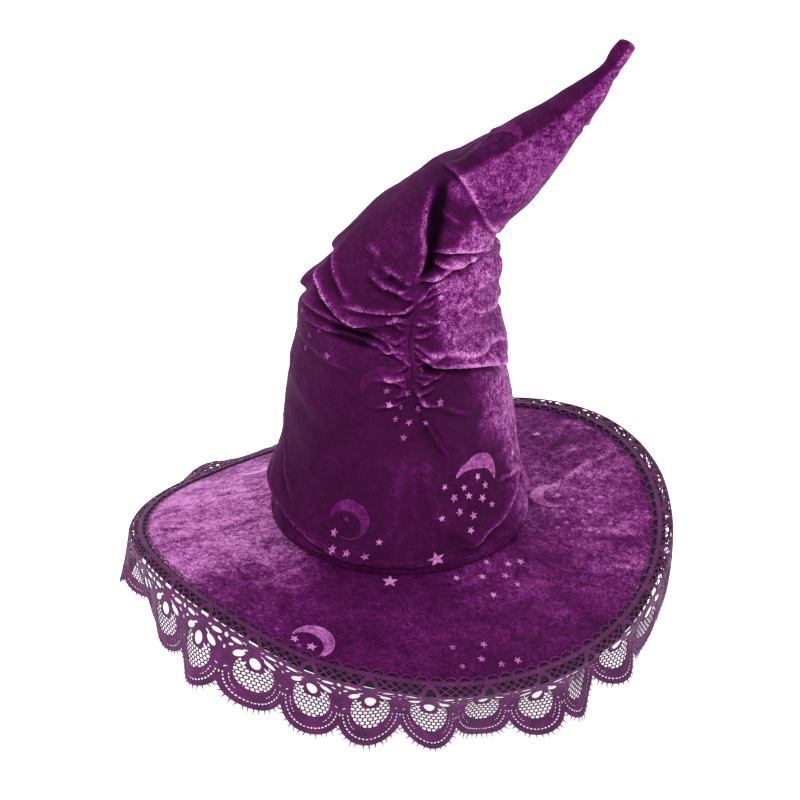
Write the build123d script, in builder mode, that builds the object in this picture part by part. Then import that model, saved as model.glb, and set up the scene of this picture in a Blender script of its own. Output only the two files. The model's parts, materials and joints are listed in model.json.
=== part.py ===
"""Crooked velvet witch hat: a soft tapered crown that folds over near its top, a wide waved brim with a
wired, bound edge, and a scalloped lace trim that hangs from that edge.

Frame: +Z up, the origin in the middle of the round head opening, level with the brim's inner top edge.
+X is the side the tip leans to, -Y is the front, where the crown is ruched. Units are millimetres.
"""

import os
from math import cos, pi, radians, sin

from build123d import *

os.makedirs("parts", exist_ok=True)

# Driving dimensions
HEAD_R = 94.5  # inside of the sweatband: a head of 590 mm
CROWN_R = 103.0  # outside of the crown where it meets the brim
BRIM_R = 211.0  # outer edge of the brim, binding included
LINED_HEIGHT = 185.0  # top of the crown's stiffened, lined part
LACE_DROP = 52.0  # how far the lace hangs below the brim's edge
LACE_FLOOR = -80.0  # where the lace meets what the hat stands on

# Cloth thicknesses, and the gap between two layers
VELVET = 1.5
FOAM = 1.8
LINING = 0.5
SWEATBAND = 1.2
JOINT_TAPE = 1.0
BRIM_STIFFENER = 2.0
FACING = 1.0
BINDING = 0.8
LACE = 0.9
GAP = 0.1

# Brim shape: how far it droops at the edge of its velvet, with one wave and two waves round it
BRIM_LAYERS_R = 206.0
BRIM_DROOP = 18.4
ONE_WAVE, ONE_WAVE_TURN = 9.0, radians(120)
TWO_WAVE, TWO_WAVE_TURN = 24.0, radians(-55)
EDGE_POINTS = 24

# Crown: the centre's X and Z, the radius, and the lean towards +X of each section
CROWN_SECTIONS = [
    (0, 0, CROWN_R, 0),
    (0, 40, 99, 0),
    (0, 105, 90, 0),
    (-1, LINED_HEIGHT, 77, 0),
    (6, 215, 65, 12),
    (20, 242, 52, 30),
    (39.5, 264, 39.5, 50),
]
SEAM_X = 10.0  # where the left and right panels meet, at the front and at the back

# Tip: it turns about the middle of a ball that sits in the crown's open top
NECK_X, NECK_Z, NECK_LEAN = 47.5, 271.0, 50.0
BALL_R = 36.5
BALL_SKIRT = 30.0  # how far the ball's cover reaches below its middle, along the tip
WADDING_SKIRT = 23.0
TIP_SECTIONS = [
    (NECK_X, NECK_Z, BALL_R, NECK_LEAN),
    (82, 296, 30.5, 48),
    (105, 318, 22.5, 45),
    (127, 339, 16, 42),
    (142, 356, 11, 38),
    (150, 367, 9, 33),
    (160, 383, 7.5, 33),
    (163, 387, 4.5, 33),
]

# Small parts
SWEATBAND_HEIGHT = 32.0
SWEATBAND_FOOT = -5.0  # its lower edge
JOINT_TAPE_HEIGHT = 12.0
ELASTIC_WIDTH, ELASTIC = 6.0, 0.8
ELASTIC_FOOT, ELASTIC_TOP = 95.0, 180.0
ELASTIC_ROOM = 1.5  # clear foam round the elastic
WIRE_R = 208.2
WIRE = 2.0
FERRULE_LENGTH, FERRULE_WALL = 14.0, 0.4
LABEL = 0.4
LABEL_SINK = 2.0  # how far inside the sweatband's face a label lies
LABEL_LEAN = 1 / 6  # and how much further in, per millimetre of its height, as the crown narrows
BINDING_INNER_R = 202.0
LACE_INNER_R = 198.0
CUT_PAST = 1.0  # how far a cut runs past the face that it opens

# Heights of the brim's layers over its top face
TOP_VELVET_FOOT = -VELVET
STIFFENER_TOP = TOP_VELVET_FOOT - GAP
STIFFENER_FOOT = STIFFENER_TOP - BRIM_STIFFENER
FACING_TOP = STIFFENER_FOOT - GAP
FACING_FOOT = FACING_TOP - FACING
BINDING_TOP = GAP + BINDING
BINDING_FOOT = FACING_FOOT - GAP - BINDING
LACE_FOOT = BINDING_TOP + GAP
BRIM_INNER_R = HEAD_R + SWEATBAND + GAP

# Depths of the crown's layers below its outer face
FOAM_OUT = VELVET + GAP
FOAM_IN = FOAM_OUT + FOAM
LINING_OUT = FOAM_IN + GAP
LINING_IN = LINING_OUT + LINING
WADDING_OUT = FOAM_IN + GAP


def edge_ring(r, height):
    """A closed curve at a radius of the brim, at a height over its top face."""
    points = []
    for i in range(EDGE_POINTS):
        angle = 2 * pi * i / EDGE_POINTS
        droop = BRIM_DROOP
        droop += ONE_WAVE * cos(angle - ONE_WAVE_TURN)
        droop += TWO_WAVE * cos(2 * (angle - TWO_WAVE_TURN))
        out = max(0.0, r - CROWN_R) / (BRIM_LAYERS_R - CROWN_R)
        points.append((r * cos(angle), r * sin(angle), height - droop * out))
    return Edge.make_spline(points, periodic=True)


def brim_ring(inner_r, outer_r, foot, top):
    """A ring of cloth that follows the brim, between two heights over its top face."""
    sheet = Face.make_surface_from_curves(edge_ring(inner_r, foot), edge_ring(outer_r, foot))
    with BuildPart() as ring:
        extrude(sheet, amount=top - foot, dir=(0, 0, 1))
    return ring.part


def brim_layer(foot, top):
    """A layer of the whole brim: flat under the crown, and drooping outside it."""
    flat = brim_ring(BRIM_INNER_R, CROWN_R, foot, top)
    drooping = brim_ring(CROWN_R, BRIM_LAYERS_R, foot, top)
    with BuildPart() as layer:
        add(flat)
        add(drooping)
    return layer.part


def section_plane(x, z, lean):
    return Plane(origin=(x, 0, z), x_dir=(0, 1, 0), z_dir=(sin(radians(lean)), 0, cos(radians(lean))))


def tapered(sections, inset, straight=False):
    """A solid through round sections, each smaller by the inset."""
    with BuildPart() as body:
        for x, z, r, lean in sections:
            with BuildSketch(section_plane(x, z, lean)):
                Circle(r - inset)
        loft(ruled=straight)
    return body.part


def crown_layer(outer_inset, inner_inset):
    """A layer of the crown between two depths below its outer face."""
    outer = tapered(CROWN_SECTIONS, outer_inset)
    inner = tapered(CROWN_SECTIONS, inner_inset)
    with BuildPart() as layer:
        add(outer)
        add(inner, mode=Mode.SUBTRACT)
    return layer.part


def lower_crown_layer(outer_inset, inner_inset):
    """The same, for the stiffened part only."""
    whole = crown_layer(outer_inset, inner_inset)
    with BuildPart() as layer:
        add(whole)
        split(bisect_by=Plane.XY.offset(LINED_HEIGHT), keep=Keep.BOTTOM)
    return layer.part


def tip_solid(inset, skirt):
    """The tip's ball and cone in one solid, cut off square below the ball's middle."""
    neck = section_plane(NECK_X, NECK_Z, NECK_LEAN)
    cone = tapered(TIP_SECTIONS, inset, straight=True)
    with BuildPart() as body:
        with Locations(neck):
            Sphere(BALL_R - inset)
        split(bisect_by=neck.offset(-skirt), keep=Keep.TOP)
        add(cone)
    return body.part


def write(part, name):
    part.label = name
    export_step(part, f"parts/{name}.step")


# Crown velvet: two panels, sewn together at the front and at the back
crown_shell = crown_layer(0, VELVET)
seam_plane = Plane(origin=(SEAM_X, 0, 0), x_dir=(0, 1, 0), z_dir=(1, 0, 0))

with BuildPart() as crown_panel_right:
    add(crown_shell)
    split(bisect_by=seam_plane, keep=Keep.TOP)
write(crown_panel_right.part, "crown_panel_right")

with BuildPart() as crown_panel_left:
    add(crown_shell)
    split(bisect_by=seam_plane, keep=Keep.BOTTOM)
write(crown_panel_left.part, "crown_panel_left")

# The elastic that ruches the front seam, and the foam and lining behind it
elastic_shell = lower_crown_layer(FOAM_OUT, FOAM_OUT + ELASTIC)
elastic_place = (SEAM_X, -CROWN_R / 2, (ELASTIC_FOOT + ELASTIC_TOP) / 2)
elastic_height = ELASTIC_TOP - ELASTIC_FOOT
with BuildPart() as ruching_elastic:
    add(elastic_shell)
    with Locations(elastic_place):
        Box(ELASTIC_WIDTH, CROWN_R, elastic_height, mode=Mode.INTERSECT)
write(ruching_elastic.part, "ruching_elastic")

foam_shell = lower_crown_layer(FOAM_OUT, FOAM_IN)
with BuildPart() as crown_interlining:
    add(foam_shell)
    with Locations(elastic_place):
        Box(
            ELASTIC_WIDTH + 2 * ELASTIC_ROOM,
            CROWN_R,
            elastic_height + 2 * ELASTIC_ROOM,
            mode=Mode.SUBTRACT,
        )
write(crown_interlining.part, "crown_interlining")

write(lower_crown_layer(LINING_OUT, LINING_IN), "crown_lining")

# Head opening: the sweatband, and the tape that covers the seam behind it
with BuildPart() as sweatband:
    with BuildSketch(Plane.XY.offset(SWEATBAND_FOOT)):
        Circle(HEAD_R + SWEATBAND)
        Circle(HEAD_R, mode=Mode.SUBTRACT)
    extrude(amount=SWEATBAND_HEIGHT)
write(sweatband.part, "sweatband")

with BuildPart() as crown_joint_tape:
    with BuildSketch(Plane.XY.offset(GAP)):
        Circle(BRIM_INNER_R + JOINT_TAPE)
        Circle(BRIM_INNER_R, mode=Mode.SUBTRACT)
    extrude(amount=JOINT_TAPE_HEIGHT)
write(crown_joint_tape.part, "crown_joint_tape")

# Two blank labels, sewn in at the back just above the sweatband
label_foot = SWEATBAND_FOOT + SWEATBAND_HEIGHT + GAP
for name, x, width, height in (("care_label", 14, 26, 42), ("size_label", -12, 16, 12)):
    corner_x = abs(x) + width / 2
    y = (HEAD_R**2 - corner_x**2) ** 0.5 - LABEL_SINK - LABEL_LEAN * height
    with BuildPart() as label:
        with Locations((x, y, label_foot + height / 2)):
            Box(width, LABEL, height)
    write(label.part, name)

# Brim: velvet, stiffener and facing, then the wire in its bound edge
write(brim_layer(TOP_VELVET_FOOT, 0), "brim_top_velvet")
write(brim_layer(STIFFENER_FOOT, STIFFENER_TOP), "brim_stiffener")
write(brim_layer(FACING_FOOT, FACING_TOP), "brim_facing")

binding_outside = brim_ring(BINDING_INNER_R, BRIM_R, BINDING_FOOT, BINDING_TOP)
binding_inside = brim_ring(BINDING_INNER_R - CUT_PAST, BRIM_R - BINDING, FACING_FOOT - GAP, GAP)
with BuildPart() as edge_binding:
    add(binding_outside)
    add(binding_inside, mode=Mode.SUBTRACT)
write(edge_binding.part, "edge_binding")

wire_low = FACING_FOOT / 2 - WIRE / 2
wire_high = wire_low + WIRE
wire_inner_r, wire_outer_r = WIRE_R - WIRE / 2, WIRE_R + WIRE / 2
write(brim_ring(wire_inner_r, wire_outer_r, wire_low, wire_high), "brim_wire")

sleeve = GAP + FERRULE_WALL


def round_the_wire(room):
    """A ring that holds the wire with room to spare on every side."""
    return brim_ring(wire_inner_r - room, wire_outer_r + room, wire_low - room, wire_high + room)


ferrule_outside = round_the_wire(sleeve)
ferrule_inside = round_the_wire(GAP)
with BuildPart() as wire_ferrule:
    add(ferrule_outside)
    add(ferrule_inside, mode=Mode.SUBTRACT)
    with Locations((0, BRIM_R, 0)):
        Box(FERRULE_LENGTH, CROWN_R, BRIM_R, mode=Mode.INTERSECT)
write(wire_ferrule.part, "wire_ferrule")

# Lace: its heading lies on the bound edge, and its scalloped part hangs outside it
skirt_r = BRIM_R + 2 * GAP
lace_top = LACE_FOOT + LACE
write(brim_ring(LACE_INNER_R, skirt_r, LACE_FOOT, lace_top), "lace_heading")

hanging = brim_ring(skirt_r, skirt_r + LACE, -LACE_DROP, lace_top)
with BuildPart() as lace_scallops:
    add(hanging)
    split(bisect_by=Plane.XY.offset(LACE_FLOOR), keep=Keep.TOP)
write(lace_scallops.part, "lace_scallops")

# Tip: velvet over foam over wadding
for name, outer, inner in (("tip_velvet", 0, VELVET), ("tip_interlining", FOAM_OUT, FOAM_IN)):
    outside = tip_solid(outer, BALL_SKIRT)
    inside = tip_solid(inner, BALL_SKIRT + CUT_PAST)
    with BuildPart() as tip_cover:
        add(outside)
        add(inside, mode=Mode.SUBTRACT)
    write(tip_cover.part, name)

write(tip_solid(WADDING_OUT, WADDING_SKIRT), "tip_wadding")
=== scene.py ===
import json
import math

import bpy
import numpy as np
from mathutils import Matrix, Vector


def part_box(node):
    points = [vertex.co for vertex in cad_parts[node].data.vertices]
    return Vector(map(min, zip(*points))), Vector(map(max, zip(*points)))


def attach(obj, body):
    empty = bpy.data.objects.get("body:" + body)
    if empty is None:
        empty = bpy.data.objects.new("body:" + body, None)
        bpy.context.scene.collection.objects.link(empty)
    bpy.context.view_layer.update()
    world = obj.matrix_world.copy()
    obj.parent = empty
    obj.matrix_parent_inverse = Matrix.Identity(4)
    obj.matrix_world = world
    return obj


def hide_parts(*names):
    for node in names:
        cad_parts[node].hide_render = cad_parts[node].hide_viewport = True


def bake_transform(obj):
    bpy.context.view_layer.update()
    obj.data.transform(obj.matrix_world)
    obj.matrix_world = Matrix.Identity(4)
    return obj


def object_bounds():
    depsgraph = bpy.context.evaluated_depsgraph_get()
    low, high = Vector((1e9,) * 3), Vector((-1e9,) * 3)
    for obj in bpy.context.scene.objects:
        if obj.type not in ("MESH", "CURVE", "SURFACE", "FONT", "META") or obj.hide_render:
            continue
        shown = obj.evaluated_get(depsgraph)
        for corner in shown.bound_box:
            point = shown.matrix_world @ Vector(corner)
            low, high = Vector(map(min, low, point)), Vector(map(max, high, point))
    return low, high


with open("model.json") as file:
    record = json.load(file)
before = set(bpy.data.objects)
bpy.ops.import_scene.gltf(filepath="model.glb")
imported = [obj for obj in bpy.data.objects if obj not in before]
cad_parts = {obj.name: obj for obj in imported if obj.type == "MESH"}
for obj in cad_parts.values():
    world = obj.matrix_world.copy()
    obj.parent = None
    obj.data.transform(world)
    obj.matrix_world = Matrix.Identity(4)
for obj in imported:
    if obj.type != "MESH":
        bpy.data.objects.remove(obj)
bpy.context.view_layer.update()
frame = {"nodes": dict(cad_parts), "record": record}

MM = 0.001

# ---------------------------------------------------------------- sizes, in millimetres

CROWN_R = 103.0
VELVET_INNER_R = CROWN_R - 4  # where the brim's velvet begins, inside the crown
VELVET_EDGE_R = 205.0  # where the brim's velvet runs under the lace
BRIM_R = 1000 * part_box("edge_binding")[1][1]
HEAD_R = 1000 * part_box("sweatband")[1][1]

# The brim droops by a mean amount, with one wave and two waves round it
BRIM_LAYERS_R = 1000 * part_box("brim_top_velvet")[1][1]
BRIM_DROOP = 18.4
ONE_WAVE, ONE_WAVE_TURN = 9.0, math.radians(120)
TWO_WAVE, TWO_WAVE_TURN = 24.0, math.radians(-55)

# The crown's outline: a left point and a right point (X, Z) of each section, from base to tip
OUTLINE = [
    ((-103, 0), (103, 0)),
    ((-100, 41), (99, 40)),
    ((-92, 74), (92, 74)),
    ((-89, 107), (88, 107)),
    ((-84, 139), (83, 139)),
    ((-79, 164), (80, 164)),
    ((-76, 190), (75, 190)),
    ((-68, 206), (75, 207)),
    ((-57, 220), (74, 224)),
    ((-42, 242), (72, 238)),
    ((-22, 263), (76, 248)),
    ((1, 278), (83, 256)),
    ((24, 297), (97, 269)),
    ((44, 309), (111, 289)),
    ((64, 319), (121, 306)),
    ((89, 333), (133, 325)),
    ((115, 349), (146, 343)),
    ((133, 362), (152, 354)),
    ((144, 372), (158, 366)),
    ((151, 383), (164, 376)),
    ((156, 389), (168, 383)),
]


def srgb(r, g, b):
    """A colour as 0 to 255 values, made linear."""
    def one(c):
        c /= 255
        return c / 12.92 if c <= 0.04045 else ((c + 0.055) / 1.055) ** 2.4
    return (one(r), one(g), one(b), 1.0)


# ---------------------------------------------------------------- numbers and meshes


def smooth_curve(keys, values, at):
    """A smooth curve through values at keys."""
    keys, values, at = np.asarray(keys, float), np.asarray(values, float), np.asarray(at, float)
    slopes = np.gradient(values, keys, axis=0)
    i = np.clip(np.searchsorted(keys, at, side="right") - 1, 0, len(keys) - 2)
    width = keys[i + 1] - keys[i]
    t = np.clip((at - keys[i]) / width, 0, 1)
    if values.ndim > 1:
        t, width = t[..., None], width[..., None]
    a = (1 + 2 * t) * (1 - t) ** 2
    b = t * (1 - t) ** 2
    c = t * t * (3 - 2 * t)
    d = t * t * (t - 1)
    return a * values[i] + b * width * slopes[i] + c * values[i + 1] + d * width * slopes[i + 1]


def step(low, high, x):
    """0 below low, 1 above high, smooth between."""
    t = np.clip((x - low) / (high - low), 0, 1)
    return t * t * (3 - 2 * t)


def bell(x, width):
    """1 at x = 0, falling smoothly to 0 on both sides."""
    return np.exp(-((x / width) ** 2))


def wrap_degrees(angle):
    """The same angle, from -180 to 180."""
    return (angle + 180) % 360 - 180


def turned(count):
    """Evenly spaced angles once round."""
    return 2 * np.pi * np.arange(count) / count


def polar(radius, angle, z):
    """Points at a distance from the hat's axis, an angle counter-clockwise from +X, and a height."""
    return np.stack([radius * np.cos(angle), radius * np.sin(angle), z], -1)


def hashed(cell, seed):
    """A repeatable number from 0 to 1 for each whole-number cell."""
    n = cell[..., 0] * 374761393 + cell[..., 1] * 668265263 + cell[..., 2] * 1274126177 + seed * 974634777
    n = (n ^ (n >> 13)) * 1103515245 & 0x7FFFFFFF
    n = (n ^ (n >> 16)) * 1664525 & 0x7FFFFFFF
    return (n & 0xFFFFF) / 0xFFFFF


def noise(points, size, seed=0, octaves=3):
    """Smooth noise from about -1 to 1 at points; size is the largest lump."""
    total, weight = 0.0, 1.0
    for octave in range(octaves):
        p = points / (size / 2**octave)
        cell = np.floor(p).astype(np.int64)
        t = p - cell
        t = t * t * (3 - 2 * t)
        value = 0.0
        for corner in range(8):
            bits = np.array([corner & 1, corner >> 1 & 1, corner >> 2 & 1])
            share = np.prod(np.where(bits, t, 1 - t), axis=-1)
            value = value + share * hashed(cell + bits, seed + octave)
        total = total + weight * (2 * value - 1)
        weight *= 0.5
    return total


def make_mesh(name, points, faces, materials, face_material=None):
    """An object from points in millimetres."""
    mesh = bpy.data.meshes.new(name)
    points = np.asarray(points, float).reshape(-1, 3) * MM
    faces = np.asarray(faces, np.int32)
    sides = faces.shape[1]
    mesh.vertices.add(len(points))
    mesh.vertices.foreach_set("co", points.ravel())
    mesh.loops.add(faces.size)
    mesh.loops.foreach_set("vertex_index", faces.ravel())
    mesh.polygons.add(len(faces))
    mesh.polygons.foreach_set("loop_start", np.arange(0, faces.size, sides, dtype=np.int32))
    for material in materials:
        mesh.materials.append(material)
    if face_material is not None:
        mesh.polygons.foreach_set("material_index", np.asarray(face_material, np.int32))
    mesh.update(calc_edges=True)
    mesh.validate()
    mesh.polygons.foreach_set("use_smooth", np.full(len(mesh.polygons), True))
    obj = bpy.data.objects.new(name, mesh)
    bpy.context.collection.objects.link(obj)
    return obj


def paint(obj, name, values):
    """A number on each point, which a material reads by its name."""
    layer = obj.data.attributes.new(name, "FLOAT", "POINT")
    layer.data.foreach_set("value", np.asarray(values, np.float32).ravel())


def grid_faces(rows, columns, closed=True):
    """The four-sided faces of a grid; closed joins the last column to the first."""
    count = columns if closed else columns - 1
    r, c = np.meshgrid(np.arange(rows - 1), np.arange(count), indexing="ij")
    n = (c + 1) % columns
    here, above = r * columns, (r + 1) * columns
    return np.stack([here + c, here + n, above + n, above + c], -1).reshape(-1, 4)


def grid_normals(grid, closed=True):
    """The outward normal at each point of a grid."""
    if closed:
        across = np.roll(grid, -1, 1) - np.roll(grid, 1, 1)
    else:
        across = np.gradient(grid, axis=1)
    along = np.gradient(grid, axis=0)
    n = np.cross(across, along)
    return n / np.maximum(np.linalg.norm(n, axis=-1, keepdims=True), 1e-9)


def fasten(obj, slot, *nodes, body="hat"):
    """Makes a piece ride a body and hides the CAD nodes it stands for; the slot is not used."""
    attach(obj, body)
    if nodes:
        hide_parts(*nodes)
    return obj


# ---------------------------------------------------------------- materials


class Nodes:
    """Short calls that build a node material."""

    def __init__(self, name):
        self.material = bpy.data.materials.new(name)
        self.material.use_nodes = True
        self.tree = self.material.node_tree
        self.shader = self.tree.nodes["Principled BSDF"]

    def add(self, kind, **values):
        node = self.tree.nodes.new(kind)
        for key, value in values.items():
            if hasattr(node, key):
                setattr(node, key, value)
            else:
                node.inputs[key.replace("_", " ")].default_value = value
        return node

    def link(self, a, b):
        self.tree.links.new(a, b)

    def coordinates(self):
        return self.add("ShaderNodeTexCoord").outputs["Object"]

    def mapped(self, vector, scale):
        node = self.add("ShaderNodeMapping")
        node.inputs["Scale"].default_value = scale
        self.link(vector, node.inputs["Vector"])
        return node.outputs["Vector"]

    def noise(self, vector, scale, detail=4.0, roughness=0.6, distortion=0.0):
        node = self.add("ShaderNodeTexNoise", Scale=scale, Detail=detail, Roughness=roughness,
                        Distortion=distortion)
        self.link(vector, node.inputs["Vector"])
        return node.outputs["Fac"]

    def attribute(self, name):
        return self.add("ShaderNodeAttribute", attribute_name=name).outputs["Fac"]

    def math(self, operation, a, b=0.5):
        node = self.add("ShaderNodeMath", operation=operation)
        for socket, value in zip(node.inputs, (a, b)):
            if isinstance(value, (int, float)):
                socket.default_value = value
            else:
                self.link(value, socket)
        return node.outputs[0]

    def ramp(self, value, stops, interpolation="LINEAR"):
        node = self.add("ShaderNodeValToRGB")
        node.color_ramp.interpolation = interpolation
        elements = node.color_ramp.elements
        while len(elements) < len(stops):
            elements.new(0.5)
        for element, (place, colour) in zip(elements, stops):
            element.position = place
            element.color = colour
        self.link(value, node.inputs["Fac"])
        return node.outputs["Color"]

    def remap(self, value, low, high, to_low, to_high):
        node = self.add("ShaderNodeMapRange")
        for name, number in (("From Min", low), ("From Max", high), ("To Min", to_low), ("To Max", to_high)):
            node.inputs[name].default_value = number
        self.link(value, node.inputs["Value"])
        return node.outputs["Result"]

    def bump(self, height, strength, distance, after=None):
        node = self.add("ShaderNodeBump", Strength=strength, Distance=distance)
        self.link(height, node.inputs["Height"])
        if after is not None:
            self.link(after, node.inputs["Normal"])
        return node.outputs["Normal"]

    def finish(self, colour=None, roughness=None, normal=None, **values):
        for key, value in values.items():
            self.shader.inputs[key.replace("_", " ")].default_value = value
        for name, socket in (("Base Color", colour), ("Roughness", roughness), ("Normal", normal)):
            if socket is not None:
                self.link(socket, self.shader.inputs[name])
        return self.material


def velvet_material(name, stops, speckle=1.0):
    """Crushed velvet: random patches of lighter and darker pile, plus the painted sheen, painted highlights
    on fold crests and painted shade that a point attribute holds.
    """
    n = Nodes(name)
    at = n.coordinates()
    patches = n.noise(at, 34, 5, 0.66, 0.8)
    crush = n.noise(at, 210, 5, 0.7, 0.7)
    pile = n.noise(at, 820, 3, 0.75)
    # the painted sheen, highlights and shade, stored on each point of the velvet
    sheen_and_shade = n.attribute("sheen_and_shade")
    contrast = n.remap(sheen_and_shade, 0.17, 0.55, 0.14 * speckle, speckle)
    total = sheen_and_shade
    for layer, gain in ((patches, 0.8), (crush, 1.7), (pile, 1.7)):
        swing = n.math("MULTIPLY", n.math("SUBTRACT", layer, 0.5), gain)
        total = n.math("ADD", total, n.math("MULTIPLY", swing, contrast))
    colour = n.ramp(total, stops)
    rough = n.remap(total, 0.0, 1.0, 0.85, 0.55)
    normal = n.bump(patches, 0.25, 0.004)
    normal = n.bump(crush, 0.4, 0.0012, normal)
    normal = n.bump(pile, 0.4, 0.0005, normal)
    return n.finish(
        colour,
        rough,
        normal,
        Sheen_Weight=0.10,
        Sheen_Roughness=0.4,
        Sheen_Tint=srgb(186, 90, 180),
        Specular_IOR_Level=0.06,
    )


# dark to pale: the attribute's painted shade runs down this ramp and its painted sheen runs up it
VELVET_STOPS = [
    (0.00, srgb(22, 0, 20)),
    (0.22, srgb(58, 5, 52)),
    (0.42, srgb(90, 18, 86)),
    (0.62, srgb(126, 54, 119)),
    (0.82, srgb(164, 94, 157)),
    (1.00, srgb(202, 128, 194)),
]


def lace_material():
    """Guipure lace: matte thread laid in close satin stitches."""
    n = Nodes("lace_thread")
    at = n.coordinates()
    tone = n.noise(at, 120, 4, 0.6)
    stitch = n.noise(n.mapped(at, (1.0, 1.0, 2.6)), 1500, 2, 0.5, 0.4)
    mixed = n.math("ADD", n.math("MULTIPLY", tone, 0.6), n.math("MULTIPLY", stitch, 0.4))
    colour = n.ramp(mixed, [(0.3, srgb(40, 2, 40)), (0.5, srgb(73, 7, 68)), (0.72, srgb(104, 22, 96))])
    normal = n.bump(stitch, 0.6, 0.0005)
    normal = n.bump(tone, 0.2, 0.001, normal)
    return n.finish(
        colour, None, normal, Roughness=0.72, Sheen_Weight=0.06, Sheen_Roughness=0.5,
        Sheen_Tint=srgb(200, 140, 196), Specular_IOR_Level=0.3,
    )


def woven_material(name, dark, light, threads, roughness=0.8, sheen=0.15, strength=0.5):
    """Plain woven cloth, from two crossing sets of threads."""
    n = Nodes(name)
    at = n.coordinates()
    separate = n.add("ShaderNodeSeparateXYZ")
    n.link(at, separate.inputs[0])
    waves = []
    for axis in ("X", "Y", "Z"):
        waves.append(n.math("SINE", n.math("MULTIPLY", separate.outputs[axis], threads)))
    weave = n.math("ADD", n.math("MULTIPLY", waves[0], waves[1]), n.math("MULTIPLY", waves[2], 0.7))
    lint = n.noise(at, 300, 4, 0.6)
    mixed = n.math("ADD", n.remap(weave, -1.7, 1.7, 0.0, 0.5), n.math("MULTIPLY", lint, 0.5))
    colour = n.ramp(mixed, [(0.25, dark), (0.8, light)])
    normal = n.bump(weave, strength, 0.0004)
    return n.finish(colour, None, normal, Roughness=roughness, Sheen_Weight=sheen, Specular_IOR_Level=0.3)


def porous_material(name, dark, light, scale, roughness=0.9):
    """Foam, wadding or needled felt."""
    n = Nodes(name)
    at = n.coordinates()
    lumps = n.noise(at, scale, 6, 0.75)
    colour = n.ramp(lumps, [(0.3, dark), (0.7, light)])
    return n.finish(colour, None, n.bump(lumps, 0.8, 0.002), Roughness=roughness, Sheen_Weight=0.1)


def metal_material(name, dark, light, roughness):
    """Drawn metal with fine scratches."""
    n = Nodes(name)
    at = n.coordinates()
    scratches = n.noise(n.mapped(at, (1.0, 1.0, 6.0)), 500, 3, 0.6)
    colour = n.ramp(scratches, [(0.3, dark), (0.7, light)])
    rough = n.remap(scratches, 0.0, 1.0, roughness - 0.08, roughness + 0.12)
    return n.finish(colour, rough, n.bump(scratches, 0.15, 0.0003), Metallic=1.0)


VELVET = velvet_material("velvet", VELVET_STOPS)
PRINT = velvet_material("velvet_print", VELVET_STOPS, 0.6)
LACE = lace_material()
BINDING = woven_material("binding", srgb(7, 5, 8), srgb(27, 20, 29), 4200, 0.9, 0.03)
FACING = woven_material("facing", srgb(12, 10, 13), srgb(38, 33, 40), 5200)
LINING = woven_material("lining", srgb(16, 12, 18), srgb(52, 44, 56), 9000, 0.42, 0.3, 0.2)
BLACK_THREAD = woven_material("black_thread", srgb(10, 8, 10), srgb(60, 54, 60), 7000, 0.6)

CAD_MATERIALS = {
    "sweatband": woven_material("sweatband", srgb(12, 10, 13), srgb(50, 45, 52), 2600, 0.6, 0.2, 0.8),
    "tape": woven_material("tape", srgb(14, 12, 15), srgb(44, 40, 46), 4600),
    "elastic": woven_material("elastic", srgb(20, 20, 21), srgb(62, 60, 62), 3000),
    "foam": porous_material("foam", srgb(168, 164, 156), srgb(206, 203, 196), 700),
    "wadding": porous_material("wadding", srgb(206, 205, 200), srgb(240, 240, 236), 160),
    "stiffener": porous_material("stiffener", srgb(176, 175, 170), srgb(214, 213, 208), 900),
    "wire": metal_material("wire", srgb(110, 112, 116), srgb(170, 172, 176), 0.32),
    "ferrule": metal_material("ferrule", srgb(170, 172, 176), srgb(216, 218, 222), 0.28),
    "label": woven_material("label", srgb(196, 193, 188), srgb(236, 234, 230), 6000, 0.5, 0.2, 0.25),
    "lining": LINING,
    "facing": FACING,
    "binding": BINDING,
    "velvet": VELVET,
    "lace": LACE,
}


def dress_cad_nodes():
    """Gives each CAD node the material of its slot."""
    for part in frame["record"]["subparts"]:
        obj = frame["nodes"][part["node"]]
        obj.data.materials.clear()
        obj.data.materials.append(CAD_MATERIALS[part["material_slot"]])


# ---------------------------------------------------------------- crown

CROWN_COLUMNS, CROWN_ROWS = 400, 400
SIM_COLUMNS, SIM_ROWS = 120, 110
FRONT_DENSITY = 0.45  # how much closer the columns stand at the front than on average
LEFT = np.array([pair[0] for pair in OUTLINE], float)
RIGHT = np.array([pair[1] for pair in OUTLINE], float)
MIDDLE = (LEFT + RIGHT) / 2
ALONG = np.concatenate([[0], np.cumsum(np.linalg.norm(np.diff(MIDDLE, axis=0), axis=1))])
LENGTH = ALONG[-1]
SEAM_ANGLE = 6.0  # the ruched seam's place, in degrees from the front
BACK_SEAM_ANGLE = 178.0


def crown_radius(along):
    return smooth_curve(ALONG, np.linalg.norm(RIGHT - LEFT, axis=1) / 2, along)


def crown_base(angle, along):
    """The plain crown, unfolded: angle from the front towards +X, and the distance along its middle."""
    left = smooth_curve(ALONG, LEFT, along)
    right = smooth_curve(ALONG, RIGHT, along)
    middle, half = (left + right) / 2, (right - left) / 2
    depth = np.linalg.norm(half, axis=-1)
    return np.stack(
        [
            middle[..., 0] + half[..., 0] * np.sin(angle),
            -depth * np.cos(angle),
            middle[..., 1] + half[..., 1] * np.sin(angle),
        ],
        -1,
    )


def column_angles(columns):
    """The angle of each column from the front, closer together there."""
    turn = turned(columns)
    return turn - np.pi + FRONT_DENSITY * np.sin(turn)


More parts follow.
